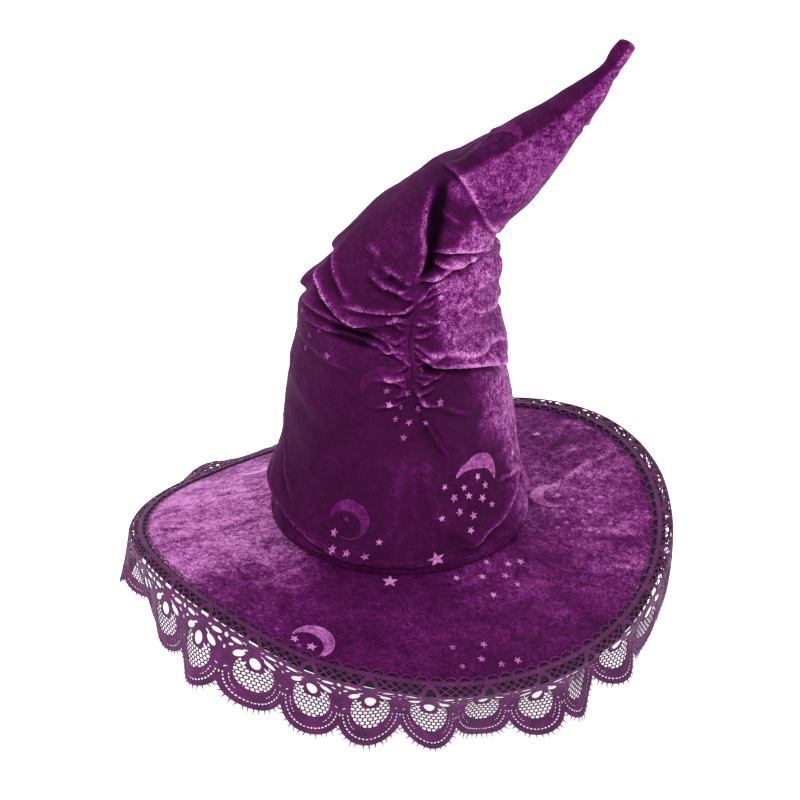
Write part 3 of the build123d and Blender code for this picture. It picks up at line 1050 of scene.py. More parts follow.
def make_elastic(surface, along, angles):
    """The elastic behind the ruched seam, pulled into ripples by its own gathers."""
    rows, columns = 160, 7
    along_strip = ELASTIC_FOOT + ELASTIC_LONG * np.linspace(0, 1, rows)
    across = np.linspace(-ELASTIC_WIDE / 2, ELASTIC_WIDE / 2, columns)
    angle = np.radians(SEAM_ANGLE) + across[None] / crown_radius(along_strip)[:, None]
    nearest = np.argmin(np.abs(angles - np.radians(SEAM_ANGLE)))
    depth_line = surface[:, nearest] - crown_base(np.full(len(along), angles[nearest]), along)
    inward = np.interp(along_strip, along, np.linalg.norm(depth_line, axis=1))
    strip = crown_base(angle, np.repeat(along_strip[:, None], columns, 1))
    wave = 0.25 * np.sin(2 * np.pi * along_strip / GATHER_PITCH)
    normal = grid_normals(strip, closed=False)
    front = strip - (inward + wave - 0.75)[:, None, None] * normal
    back = front - ELASTIC_THICK * normal
    faces = grid_faces(rows, columns, closed=False)
    count = rows * columns
    solid = np.concatenate([faces, faces[:, ::-1] + count, rim_faces(faces, count)])
    points = np.concatenate([front.reshape(-1, 3), back.reshape(-1, 3)])
    fasten(make_mesh("elastic", points, solid, [CAD_MATERIALS["elastic"]]), "elastic", "ruching_elastic")


def make_wadding(surface, along):
    """The wadding: a lumpy core in the tip, with rounded ends."""
    core = thinned(surface, 3.2)[(along > 286) & (along < 430)]
    core = core + (0.8 * noise(core, 14, 81, 3))[..., None] * grid_normals(core)
    foot, top = core[0].mean(0), core[-1].mean(0)
    first = [foot + (core[0] - foot) * k for k in (0.25, 0.6, 0.88)]
    last = [top + (core[-1] - top) * k for k in (0.8, 0.5, 0.2)]
    core = np.concatenate([first, core, last])
    wadding = make_mesh("wadding", core, grid_faces(*core.shape[:2]), [CAD_MATERIALS["wadding"]])
    fasten(wadding, "wadding", "tip_wadding", body="tip")


def make_crown_inside(grid, angles, alongs):
    surface, along = inner_surface(grid, angles, alongs, FOAM_INSET)
    make_foam(surface, along)
    make_lining(surface, along)
    make_elastic(surface, along, angles[::INNER_STEP])
    make_wadding(surface, along)


def bend_with_tip(obj):
    """Bakes the piece's placement into its points."""
    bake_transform(obj)


TIP_DOME = 3.2

CROWN_PRINT = [
    # degrees from the front, distance along, turn, shapes, strength
    (41, 77, 0, HALF_MOON, 0.95),
    (41, 77, 0, CLOSE_STARS, 1.0),
    # low strength: painted shade over this moon
    (-24, 47, 0, SHADED_MOON, 0.42),
    (-24, 47, 0, LOW_STARS, 0.9),
    (-10, 154, -6, MOTIF[:1], 0.16),
    (-66, 352, 60, MOTIF[:1], 0.3),
    (-112, 112, 30, MOTIF, 0.6),
    (104, 92, -18, MOTIF, 0.7),
    (140, 56, 10, MOTIF, 0.8),
    (172, 150, -30, MOTIF, 0.7),
    (-150, 70, 24, MOTIF, 0.7),
    (-160, 214, 0, MOTIF, 0.6),
    (118, 196, 40, MOTIF, 0.6),
    (150, 336, 10, MOON_AND_STARS, 0.6),
]
CROWN_STARS = [
    # strength, then places as (degrees from the front, distance along)
    (0.75, [(13, 166), (-9, 151), (4, 147), (10, 135), (23, 140), (-7, 140), (0, 137)]),
    (0.75, [(-3, 128), (5, 125), (15, 125), (2, 114)]),
    (0.5, [(-73, 190), (-52, 186), (-44, 170), (-60, 178), (-7, 206), (22, 218), (-66, 164)]),
]
CROWN_BIG_STARS = [(16, 15), (-128, 22), (82, 138), (162, 18), (-98, 60)]


def rounded_end(grid):
    """Rings that close the end of the tip with a low dome."""
    ring, centre = grid[-1], grid[-1].mean(0)
    axis = centre - grid[-12].mean(0)
    axis /= np.linalg.norm(axis)
    turns = np.radians([18, 36, 54, 72, 88.5])
    return np.stack([centre + (ring - centre) * math.cos(t) + TIP_DOME * math.sin(t) * axis for t in turns])


def panel_of(degrees):
    """Which of the two panels lies at an angle from the front."""
    return "right" if SEAM_ANGLE < degrees < BACK_SEAM_ANGLE else "left"


def crown_prints(surface, at, name):
    """The prints that lie on one panel."""
    prints = []
    for degrees, along, turn, shapes, strength in CROWN_PRINT:
        if panel_of(degrees) == name:
            stretch = 1.18 if shapes[0][0] in ("moon", "half_moon") else 1.0
            place = at(degrees, along)
            prints.append(laid(surface, place, shapes, turn, strength=strength, stretch=stretch))
    for degrees, along in CROWN_BIG_STARS:
        if panel_of(degrees) == name:
            prints.append(laid(surface, at(degrees, along), BIG_STAR, scale=1.0 if along < 36 else 0.5))
    for strength, places in CROWN_STARS:
        here = [p for p in places if panel_of(p[0]) == name]
        prints += loose_stars(surface, at, [(strength, here)], 0.35)
    return gather(prints)


def printed_mesh(name, grid, faces, sheen_and_shade, prints):
    """Velvet with its print as a second material, both carrying the velvet's painted sheen and shade."""
    points, print_faces, sheen_shade_and_ink = prints
    obj = make_mesh(
        name,
        np.concatenate([grid.reshape(-1, 3), points]),
        np.concatenate([faces, print_faces + grid.shape[0] * grid.shape[1]]),
        [VELVET, PRINT],
        np.concatenate([np.zeros(len(faces)), np.ones(len(print_faces))]),
    )
    paint(obj, "sheen_and_shade", np.concatenate([sheen_and_shade.ravel(), sheen_shade_and_ink]))
    return obj


def make_crown():
    grid, angles, alongs, folded = crown_grid()
    dome = rounded_end(grid)
    sheen_and_shade = crown_sheen_and_shade(grid, angles, alongs, folded)
    surface = Surface(grid, sheen_and_shade)
    whole_turn = np.append(angles, np.pi)
    base_area = float(np.trapz(2 * np.pi * crown_radius(alongs), alongs)) * 1e-6

    def at(degrees, along):
        radius = float(crown_radius(along))

        def place(x, y):
            angle = (math.radians(degrees) + x / radius + np.pi) % (2 * np.pi) - np.pi
            column = np.interp(angle, whole_turn, np.arange(len(whole_turn)))
            return column, np.interp(along + y, alongs, np.arange(CROWN_ROWS))

        return place

    seams = [int(np.argmin(np.abs(np.degrees(angles) - d))) for d in (SEAM_ANGLE, BACK_SEAM_ANGLE)]
    right = np.arange(seams[0], seams[1] + 1)
    left = np.arange(seams[1], seams[0] + CROWN_COLUMNS + 1) % CROWN_COLUMNS
    for name, columns in (("left", left), ("right", right)):
        panel = np.concatenate([grid, dome])[:, columns]
        panel_sheen_and_shade = np.concatenate([sheen_and_shade, np.repeat(sheen_and_shade[-1:], len(dome), 0)])[:, columns]
        body = grid_faces(*panel.shape[:2], closed=False)
        obj = printed_mesh(f"crown_velvet_{name}", panel, body, panel_sheen_and_shade, crown_prints(surface, at, name))
        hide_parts(f"crown_panel_{name}", "tip_velvet")
        bend_with_tip(obj)
    make_crown_inside(grid, angles, alongs)


# ---------------------------------------------------------------- brim

BRIM_COLUMNS, BRIM_ROWS = 420, 64


def brim_droop(angle):
    from_front = wrap_degrees(np.degrees(angle) + 90)
    return (
        BRIM_DROOP
        + 4.2 * bell(from_front - 4, 26)
        + 4.6 * bell(from_front + 20, 12)
        - 2.6 * bell(from_front + 58, 22)
        + ONE_WAVE * np.cos(angle - ONE_WAVE_TURN)
        + TWO_WAVE * np.cos(2 * (angle - TWO_WAVE_TURN))
    )


def brim_height(angle, radius):
    """How high the brim's top face is; angle is counter-clockwise from +X."""
    out = np.maximum(0, radius - CROWN_R) / (BRIM_LAYERS_R - CROWN_R)
    return -brim_droop(angle) * out


def brim_grid(inner, outer):
    radius, angle = np.meshgrid(np.linspace(inner, outer, BRIM_ROWS), turned(BRIM_COLUMNS), indexing="ij")
    flat = polar(radius, angle, 0 * radius)
    loose = step(CROWN_R + 4, CROWN_R + 30, radius) * step(0, 10, outer - radius)
    soft = 0.55 * noise(flat, 42, 5, 2) + 0.16 * noise(flat, 10, 6, 2)
    # short radial puckers where the wired edge pulls the velvet, deepest on the left
    left = bell(np.degrees(angle) - 178, 26)
    ray = np.sin(angle * 46 + 2.2 * noise(flat, 30, 8, 1)) * step(140, 196, radius)
    pucker = (0.25 + 1.1 * left) * ray * 0.45
    height = brim_height(angle, radius) + loose * (soft + pucker + 0.35 - 0.5 * brim_wrinkles(flat))
    return polar(radius, angle, height), angle, radius


# wrinkles on the brim, with painted shade in them: (degrees, distance out) at each end, then how deep
BRIM_WRINKLES = [
    (180, 200, 172, 174, 1.0),
    (-172, 199, -171, 168, 1.0),
    (175, 198, 171, 182, 0.7),
    (-163, 182, -163, 158, 0.6),
    (-166, 148, -170, 104, 1.0),
    (176, 170, 173, 150, 0.7),
    (166, 160, 164, 108, 0.6),
    (172, 144, 172, 106, 0.5),
    (-150, 196, -152, 176, 0.6),
    (45, 190, 32, 202, -0.7),
    (18, 142, 24, 198, -1.0),
    (8, 116, 26, 186, -0.9),
    (-13, 126, -8, 192, -0.8),
    (-15, 150, -10, 190, 0.6),
    (-27, 160, -18, 198, -0.5),
    (34, 150, 40, 190, 0.5),
    (-40, 140, -30, 190, -0.4),
]


def brim_wrinkles(grid):
    """How strongly each point lies in a wrinkle: above 0 in a sunken one, painted dark as shade, below 0 on a
    raised ridge, painted pale as a highlight.
    """
    total = np.zeros(grid.shape[:2])
    wander = grid[..., :2] + 2.4 * np.stack([noise(grid, 26, 51, 2), noise(grid, 26, 52, 2)], -1)
    for degrees_a, out_a, degrees_b, out_b, depth in BRIM_WRINKLES:
        a = out_a * np.array([math.cos(math.radians(degrees_a)), math.sin(math.radians(degrees_a))])
        b = out_b * np.array([math.cos(math.radians(degrees_b)), math.sin(math.radians(degrees_b))])
        t = np.clip(((wander - a) @ (b - a)) / ((b - a) @ (b - a)), 0, 1)
        away = np.linalg.norm(wander - a - t[..., None] * (b - a), axis=-1)
        total += depth * bell(away, 3.2) * (0.35 + 0.65 * step(0, 0.3, t) * step(0, 0.3, 1 - t))
    return total


def brim_sheen_and_shade(grid, angle, radius):
    """Painted sheen on the brim: the left pale, the front dark and the right in between, with painted shade
    in its wrinkles.
    """
    degrees = np.degrees(angle)
    ragged = degrees + 9 * noise(grid, 40, 47, 3)
    left = step(240, 196, ragged) * step(108, 150, ragged)
    front = bell(ragged - 268, 44)
    right = bell(wrap_degrees(ragged) - 6, 44)
    # painted sheen, region by region
    sheen_and_shade = 0.40 + 0.34 * left - 0.13 * front + 0.01 * right
    sheen_and_shade = sheen_and_shade - 0.06 * step(300, 330, ragged) * step(352, 330, ragged)
    sheen_and_shade = sheen_and_shade - 0.02 * bell(wrap_degrees(ragged) - 62, 26)
    x, y = grid[..., 0], grid[..., 1]
    diagonal = np.stack([x * 0.35 + y * 0.2, y - x * 0.3, 0 * angle], -1)
    sheen_and_shade = sheen_and_shade + (0.06 + 0.10 * right) * noise(diagonal, 26, 41, 3)
    streaks = noise(np.stack([degrees * 1.6, radius * 0.14, 0 * angle], -1), 9, 44, 3)
    sheen_and_shade = sheen_and_shade + (0.03 + 0.06 * left) * streaks
    # painted shade in the wrinkles, and painted highlight on the raised ridges
    sheen_and_shade = sheen_and_shade - (0.20 + 0.10 * left) * brim_wrinkles(grid)
    # painted shading from the relief: crests darker and hollows paler
    return sheen_and_shade - 0.10 * np.clip(relief(grid), -1, 1)


BRIM_PRINT = [
    # degrees counter-clockwise from +X, distance from the middle, turn, shapes, strength
    (-109.8, 187, -2, EDGE_MOON, 1.0),
    (7, 121, -10, MOON_AND_STARS[:2], 0.6),
    (-14, 178, 10, MOTIF[:1], 0.12),
    (100, 140, 20, MOTIF, 0.7),
    (142, 150, -20, MOTIF, 0.5),
]
BRIM_STARS = [
    # strength, then places as (degrees, distance from the middle)
    (0.45, [(5, 161), (-2, 151), (-7, 146), (-6, 167), (-9, 133), (-13, 127), (-11, 152), (6, 125), (4, 138),
            (-3, 129)]),
    (0.8, [(-51, 105), (-44, 115), (-39, 119), (-67, 110), (-57, 115), (-49, 122), (-48, 133), (-58, 133)]),
    (0.8, [(-77, 172), (-69, 172), (-71, 184), (-76, 189), (-67, 191), (-63, 191)]),
    (0.4, [(-118, 192), (-112, 197), (-25, 201), (-168, 132), (-160, 140), (-152, 133)]),
]
BRIM_BIG_STARS = [(-94, 108, 0.9), (44, 159, 0.55), (120, 120, 0.6), (75, 190, 0.5)]


def make_brim():
    grid, angle, radius = brim_grid(VELVET_INNER_R, VELVET_EDGE_R)
    rows, columns = grid.shape[:2]
    sheen_and_shade = brim_sheen_and_shade(grid, angle, radius)
    surface = Surface(grid, sheen_and_shade)
    spacing = (VELVET_EDGE_R - VELVET_INNER_R) / (rows - 1)

    def at(degrees, out):
        def place(x, y):
            column = (math.radians(degrees) + x / out) / (2 * np.pi) * columns
            return column, (out - y - VELVET_INNER_R) / spacing

        return place

    prints = [
        laid(surface, at(degrees, out), shapes, turn, -0.35, strength=strength)
        for degrees, out, turn, shapes, strength in BRIM_PRINT
    ]
    for degrees, out, scale in BRIM_BIG_STARS:
        prints.append(laid(surface, at(degrees, out), BIG_STAR, 0, -0.35, scale))
    prints += loose_stars(surface, at, BRIM_STARS, -0.35)
    obj = printed_mesh("brim_velvet", grid, grid_faces(rows, columns)[:, ::-1], sheen_and_shade, gather(prints))
    fasten(obj, "velvet", "brim_top_velvet")


# ---------------------------------------------------------------- lace

REPEATS = 30
PITCH = 42.0
LACE_INNER_R = 199.3
LACE_WIDTH = 70.0
LACE_THICK = 0.9
CELL = 0.6
HALF = PITCH / 2
SCALLOP_R = 23.4
SCALLOP_V = LACE_WIDTH - SCALLOP_R
HEADING = 18.2  # how much of the lace's width its heading takes
FLOWER_V = 23.5


def disc(u, v, x, y, r):
    return np.hypot(u - x, v - y) - r


def oval(u, v, x, y, a, b, turn=0.0):
    """About the distance to an oval; turn in degrees."""
    t = math.radians(turn)
    du, dv = (u - x) * math.cos(t) + (v - y) * math.sin(t), (v - y) * math.cos(t) - (u - x) * math.sin(t)
    k = np.hypot(du / a, dv / b)
    g = np.hypot(du / a**2, dv / b**2)
    return k * (k - 1) / np.maximum(g, 1e-6)


def band(v, low, high):
    return np.maximum(low - v, v - high)


def lines(x, gap, width):
    """Threads at every gap."""
    return np.abs((x + gap / 2) % gap - gap / 2) - width / 2


def heading_pattern(u, v):
    """The heading: picot loops, a solid band, and a trellis broken in each repeat by a ring with a slot."""
    low, high = np.minimum, np.maximum
    loop = PITCH / 4
    picot = np.abs(oval((u + HALF) % loop, v, loop / 2, 5.2, 0.47 * loop, 4.7)) - 0.55
    picot = low(high(picot, v - 5.2), band(v, 4.8, 8.6))
    wide, tall, thread = PITCH / 6, 5.2, 0.95
    gap = 1 / math.hypot(1 / wide, 1 / tall)
    rising, falling = (u / wide + v / tall) * gap, (u / wide - v / tall) * gap
    trellis = low(lines(rising, gap, thread), lines(falling, gap, thread))
    trellis = low(high(trellis, band(v, 8, HEADING)), band(v, HEADING - 1.5, HEADING + 0.3))
    ring = high(oval(u, v, 0, HEADING - 1, 6.6, 9.2), v - HEADING - 1)
    slot = high(oval(u, v, 0, HEADING - 1, 3.7, 5.4), v - HEADING + 0.4)
    return high(low(low(picot, trellis), ring), -slot)


PETALS = [
    # x and y from the flower's eye, half width, half length, turn
    (10.9, 7.4, 2.5, 4.7, -56),
    (13.0, -1.6, 1.7, 4.5, -94),
    (6.4, 3.0, 0.8, 2.2, -66),
    (6.8, -2.6, 0.7, 1.7, -110),
    (16.8, 3.2, 1.0, 1.9, -60),
    (7.6, 14.6, 0.8, 2.3, -36),
]


def flower_holes(u, v):
    """Petal holes on both sides of each flower, and small holes between one flower and the next."""
    holes = oval(u, v, 0, FLOWER_V + 11.8, 4.0, 5.0)
    for side in (-1, 1):
        for x, y, wide, tall, turn in PETALS:
            holes = np.minimum(holes, oval(u, v, side * x, FLOWER_V + y, wide, tall, side * turn))
    for x in (-HALF, HALF):
        holes = np.minimum(holes, oval(u, v, x, FLOWER_V - 2.2, 1.5, 1.9))
        holes = np.minimum(holes, oval(u, v, x, FLOWER_V + 7.0, 0.8, 1.5))
        for turn in (-60, 60, 180):
            a = math.radians(turn)
            slit_u, slit_v = x + 3.4 * math.sin(a), SCALLOP_V - 0.6 - 3.4 * math.cos(a)
            holes = np.minimum(holes, oval(u, v, slit_u, slit_v, 0.42, 1.5, turn))
    return holes


def net_holes(u, v):
    """Rows of small round holes, in a crescent under the flower."""
    crescent = np.maximum(disc(u, v, 0, SCALLOP_V - 3, 13.6), -disc(u, v, 0, FLOWER_V + 9.4, 9.7))
    gap_u, gap_v = 3.5, 2.55
    net = np.full_like(u, 99.0)
    for shift in (0, 1):
        near_u = (u + shift * gap_u / 2 + gap_u / 2) % gap_u - gap_u / 2
        near_v = (v + shift * gap_v + gap_v) % (2 * gap_v) - gap_v
        net = np.minimum(net, oval(near_u, near_v, 0, 0, 1.38, 1.12))
    return np.maximum(crescent, net)


def border_slits(u, v):
    """A row of slits inside the scalloped edge, and a second one up its sides."""
    angle = np.arctan2(u, v - SCALLOP_V)
    radius = np.hypot(u, v - SCALLOP_V)
    slits = np.full_like(u, 99.0)
    for at, count, narrow, from_angle in ((19.0, 46, 0.46, 0.0), (15.6, 38, 0.34, 0.75)):
        along = (angle * count / (2 * np.pi)) % 1 - 0.5
        slit = np.maximum(np.abs(radius - at) - narrow, np.abs(along) * 2 * np.pi * at / count - 0.8)
        slit = np.maximum(slit, np.maximum(SCALLOP_V + 2 - v, from_angle - np.abs(angle)))
        slits = np.minimum(slits, slit)
    return slits


def lace_pattern(u, v):
    """One repeat of the lace, below 0 in thread: u runs along it, and v out from its heading."""
    outline = np.where(v > SCALLOP_V, disc(u, v, 0, SCALLOP_V, SCALLOP_R), np.abs(u) - 2 * HALF)
    cloth = band(v, HEADING - 0.4, LACE_WIDTH)
    holes = np.minimum(np.minimum(flower_holes(u, v), net_holes(u, v)), border_slits(u, v))
    body = np.maximum(np.maximum(cloth, -holes), outline)
    return np.minimum(heading_pattern(u, v), body)


def round_the_hat(angle, keys, values):
    """A smooth curve round the hat through values at keys, in degrees counter-clockwise from +X."""
    return smooth_curve(keys, values, wrap_degrees(np.degrees(angle)))


def lace_turn(angle):
    """How far below level the lace hangs, in degrees, round the hat: under 90 it flares out."""
    keys = [-180, -160, -140, -120, -100, -80, -60, -40, -20, 0, 30, 60, 90, 110, 130, 150, 180]
    return round_the_hat(angle, keys, [96, 92, 78, 73, 86, 94, 96, 97, 96, 94, 92, 84, 68, 32, 20, 38, 96])


def lace_reach(angle):
    """How far past the brim's edge the lace runs before it turns down."""
    return round_the_hat(angle, [-180, -150, -60, -30, 0, 40, 90, 130, 180], [2, 0, 0, 1, 4, 7, 8, 5, 2])


PROFILE_ROWS, PROFILE_COLUMNS = 1440, 140


def lace_profile():
    """Tables of the lace's radius and height, by angle and by distance out, and that distance's spacing."""
    reach = np.linspace(0, LACE_WIDTH + 6, PROFILE_COLUMNS)
    spacing = reach[1] - reach[0]
    angle = np.linspace(-np.pi / 2, 1.5 * np.pi, PROFILE_ROWS + 1)
    degrees = wrap_degrees(np.degrees(angle))
    start = np.arctan(brim_droop(angle) / (BRIM_LAYERS_R - CROWN_R))
    hang = np.radians(lace_turn(angle))
    wave = np.sin(angle * REPEATS / 2 + 0.6) * 0.10 + 0.09 * np.sin(angle * 9.0 + 1.0)
    wave = wave + 0.05 * np.sin(angle * 23)
    edge = BRIM_R + 1.6 - LACE_INNER_R
    turn_at = edge + lace_reach(angle)[:, None]
    bend = step(turn_at - 5, turn_at + 5, reach[None, :])
    curl = (0.16 * np.sin(angle * 5 + 2))[:, None] * step(edge, LACE_WIDTH, reach)[None, :]
    # at the front the lace is pushed in under the brim, then its scallops turn out again
    front = step(-132, -106, degrees) * step(-18, -42, degrees)
    tuck = step(14, 22, reach) * step(42, 34, reach)
    flare = step(42, 58, reach)
    curl = curl + front[:, None] * np.radians(30 * tuck - 30 * flare)[None, :]
    # at the back it runs out from the brim and then falls
    back = step(70, 90, degrees) * step(176, 156, degrees)
    curl = curl + back[:, None] * np.radians(60) * step(32, 46, reach)[None, :]
    down = start[:, None] * (1 - bend) + (hang + wave)[:, None] * bend + curl
    r = LACE_INNER_R + np.cumsum(np.cos(down), 1) * spacing - spacing
    top = brim_height(angle, LACE_INNER_R) + 1.9
    z = top[:, None] - (np.cumsum(np.sin(down), 1) * spacing - np.sin(down[:, :1]) * spacing)
    return r, z, spacing


def lace_place(u_total, v):
    """Where a point of the lace lies: u_total round the edge and v out from its heading, in millimetres."""
    r, z, spacing = lace_profile()
    angle = u_total / (REPEATS * PITCH) * 2 * np.pi - np.pi / 2
    row = (angle + np.pi / 2) / (2 * np.pi) * PROFILE_ROWS
    column = v / spacing
    i = np.clip(np.floor(row).astype(int), 0, PROFILE_ROWS - 1)
    j = np.clip(np.floor(column).astype(int), 0, PROFILE_COLUMNS - 2)
    fi, fj = row - i, column - j

    def mix(t):
        near = t[i, j] * (1 - fi) + t[i + 1, j] * fi
        far = t[i, j + 1] * (1 - fi) + t[i + 1, j + 1] * fi
        return near * (1 - fj) + far * fj

    return polar(mix(r), angle, mix(z))


def lace_frame(u_total, v):
    """Position and outward normal of the lace."""
    e = 0.5
    middle = lace_place(u_total, v)
    across = lace_place(u_total + e, v) - lace_place(u_total - e, v)
    out = lace_place(u_total, np.minimum(v + e, LACE_WIDTH + 5)) - lace_place(u_total, np.maximum(v - e, 0))
    normal = np.cross(out, across)
    return middle, normal / np.linalg.norm(normal, axis=-1, keepdims=True)


def lace_repeat():
    """The flat points, thickness and faces of one repeat, cut along its pattern."""
    columns, rows = int(PITCH / CELL), int(round(LACE_WIDTH / CELL)) + 1
    u1 = np.linspace(-HALF, HALF, columns + 1)
    v1 = np.linspace(0, LACE_WIDTH, rows + 1)
    v, u = np.meshgrid(v1, u1, indexing="ij")
    middle_v, middle_u = np.meshgrid((v1[1:] + v1[:-1]) / 2, (u1[1:] + u1[:-1]) / 2, indexing="ij")
    keep = lace_pattern(middle_u, middle_v) < 0
    quads = grid_faces(rows + 1, columns + 1, False).reshape(rows, columns, 4)
    faces = quads[keep]
    count = np.zeros(u.size, int)
    np.add.at(count, faces.ravel(), 1)
    edge_vertex = (count > 0) & (count < 4)
    flat_u, flat_v = u.ravel().copy(), v.ravel().copy()
    on_side = np.abs(np.abs(flat_u) - HALF) < 1e-6
    move = edge_vertex & ~on_side
    for _ in range(2):
        e = 0.05
        value = lace_pattern(flat_u, flat_v)
        gu = (lace_pattern(flat_u + e, flat_v) - lace_pattern(flat_u - e, flat_v)) / (2 * e)
        gv = (lace_pattern(flat_u, flat_v + e) - lace_pattern(flat_u, flat_v - e)) / (2 * e)
        size = np.maximum(gu**2 + gv**2, 0.25)
        shift = np.clip(value / np.sqrt(size), -0.4 * CELL, 0.4 * CELL)
        flat_u = np.where(move, flat_u - shift * gu / np.sqrt(size), flat_u)
        flat_v = np.where(move, flat_v - shift * gv / np.sqrt(size), flat_v)
    depth = np.clip(-lace_pattern(flat_u, flat_v) / 0.9, 0, 1)
    half_thick = LACE_THICK / 2 * (0.45 + 0.55 * np.sqrt(depth))
    used = np.unique(faces)
    index = np.full(u.size, -1)
    index[used] = np.arange(len(used))
    cell_area = (u1[1] - u1[0]) * (v1[1] - v1[0])
    return flat_u[used], flat_v[used], half_thick[used], index[faces], len(faces) * cell_area


def rim_faces(faces, count):
    """The side faces that close a sheet to its offset copy, where its edges are free."""
    edges = np.concatenate([faces[:, [0, 1]], faces[:, [1, 2]], faces[:, [2, 3]], faces[:, [3, 0]]])
    key = np.sort(edges, 1)
    _, first, uses = np.unique(key, axis=0, return_index=True, return_counts=True)
    free = edges[first[uses == 1]]
    return np.stack([free[:, 1], free[:, 0], free[:, 0] + count, free[:, 1] + count], -1)


LACE_PIECES = 10


def make_lace():
    u, v, half_thick, faces, solid_area = lace_repeat()
    per = REPEATS // LACE_PIECES
    pieces = []
    for piece in range(LACE_PIECES):
        parts = [lace_frame(u + PITCH * (piece * per + k + 0.5), v) for k in range(per)]
        middle = np.concatenate([part[0] for part in parts])
        normal = np.concatenate([part[1] for part in parts])
        all_faces = np.concatenate([faces + len(u) * k for k in range(per)])
        # neighbouring repeats share their side points
        _, first, same = np.unique(np.round(middle, 3), axis=0, return_index=True, return_inverse=True)
        middle, normal = middle[first], normal[first]
        thick = np.tile(half_thick, per)[first]
        all_faces = same.ravel()[all_faces]
        count = len(middle)
        points = np.concatenate([middle + normal * thick[:, None], middle - normal * thick[:, None]])
        rim = rim_faces(all_faces, count)
        solid = np.concatenate([all_faces, all_faces[:, ::-1] + count, rim])
        obj = make_mesh(f"lace_{piece + 1}", points, solid, [LACE])
        pieces.append(fasten(obj, "lace", "lace_heading", "lace_scallops"))
    return pieces, solid_area * per * MM * MM


def make_fringe():
    """The short thread ends along the scallops: each a flat spike that thins to its point."""
    rng = np.random.default_rng(7)
    hairs, half_wide, half_thick, sunk = 17, 0.5, 0.28, 0.5
    total_u, total_v = [], []
    for repeat in range(REPEATS):
        spread = np.linspace(-76, 76, hairs) + rng.uniform(-1.2, 1.2, hairs)
        for degrees in spread:
            a = math.radians(degrees)
            length = rng.uniform(3.2, 5.0)
            bend = rng.uniform(-0.4, 0.4)
            root_u, root_v = SCALLOP_R * math.sin(a), SCALLOP_V + SCALLOP_R * math.cos(a)
            du, dv = math.sin(a + bend), math.cos(a + bend)
            base = PITCH * (repeat + 0.5)
            for side in (-half_wide, half_wide):
                total_u.append(base + (root_u + side * math.cos(a) - sunk * du))
                total_v.append(root_v - side * math.sin(a) - sunk * dv)
            total_u.append(base + (root_u + length * du))
            total_v.append(root_v + length * dv)
    middle, normal = lace_frame(np.array(total_u) % (REPEATS * PITCH), np.array(total_v))
    middle, normal = middle.reshape(-1, 3, 3), normal.reshape(-1, 3, 3)
    taper = [[[1], [1], [0.2]]]
    solid = np.concatenate([middle + half_thick * normal * taper, middle - half_thick * normal * taper], 1)
    triangles = [(0, 1, 2), (5, 4, 3), (0, 3, 4), (0, 4, 1), (1, 4, 5), (1, 5, 2), (2, 5, 3), (2, 3, 0)]
    faces = (6 * np.arange(len(solid))[:, None, None] + np.array(triangles)[None]).reshape(-1, 3)
    return fasten(make_mesh("lace_fringe", solid.reshape(-1, 3), faces, [LACE]), "lace")


# ---------------------------------------------------------------- the brim's layers, and the head opening

# heights over the brim's top face, and how thick the layers are
STIFFENER_TOP, STIFFENER = -1.6, 2.0
FACING_TOP, FACING_THICK = -3.7, 1.0
BINDING_TOP, BINDING_FOOT, BINDING_THICK = 0.9, -5.6, 0.8
BINDING_INNER_R = 202.0
WIRE_R, WIRE_MIDDLE, WIRE_THICK = 208.2, -2.35, 2.0
STITCH, STITCH_PITCH = 3.0, 4.2
FACING_ROWS = [112, 126, 140, 154, 168, 182, 196]  # radii of the rows of stitching that quilt the facing


def on_brim(angle, radius, lift):
    """Points at heights over the brim's top face."""
    return polar(radius, angle, brim_height(angle, radius) + lift)


def two_sided(name, upper, lower, material, closed=True):
    """A closed solid between two grids, which face away from each other."""
    faces = grid_faces(*upper.shape[:2], closed)[:, ::-1]
    count = upper.shape[0] * upper.shape[1]
    solid = np.concatenate([faces, faces[:, ::-1] + count, rim_faces(faces, count)])
    return make_mesh(name, np.concatenate([upper.reshape(-1, 3), lower.reshape(-1, 3)]), solid, [material])


def on_line(at, place, line):
    """Points on a line at distances along it; place holds the distance of each of its own points."""
    return np.stack([np.interp(at, place, line[:, i]) for i in range(3)], -1)


def make_stitches(name, rows, slot):
    """Rows of thread; each row is (closed line of points, normals)."""
    points, faces, count = [], [], 0
    ring = np.array([(-0.28, 0), (0, 0.26), (0.28, 0), (0, -0.2)])
    for line, normal in rows:
        steps = np.linalg.norm(np.roll(line, -1, 0) - line, axis=1)
        place = np.concatenate([[0], np.cumsum(steps)])
        looped, up = np.concatenate([line, line[:1]]), np.concatenate([normal, normal[:1]])
        number = int(place[-1] / STITCH_PITCH)
        starts = np.arange(number) * place[-1] / number
        sections = []
        for share, size, sink in ((0.0, 0.25, -0.25), (0.25, 1.0, 0.1), (0.75, 1.0, 0.1), (1.0, 0.25, -0.25)):
            at = starts + share * STITCH
            middle, out = on_line(at, place, looped), on_line(at, place, up)
            ahead = on_line((at + 0.5) % place[-1], place, looped) - middle
            ahead /= np.linalg.norm(ahead, axis=1, keepdims=True)
            side = np.cross(ahead, out)
            section = middle[:, None] + out[:, None] * sink
            sections.append(section + size * (ring[:, :1] * side[:, None] + ring[:, 1:] * out[:, None]))
        stitch = np.stack(sections, 1).reshape(-1, 3)
        sides = np.array([(4 * k + i, 4 * k + (i + 1) % 4, 4 * k + 4 + (i + 1) % 4, 4 * k + 4 + i)
                          for k in range(3) for i in range(4)] + [(3, 2, 1, 0), (12, 13, 14, 15)])
        faces.append((count + 16 * np.arange(number)[:, None, None] + sides[None]).reshape(-1, 4))
        points.append(stitch)
        count += len(stitch)
    return fasten(make_mesh(name, np.concatenate(points), np.concatenate(faces), [BLACK_THREAD]), slot)


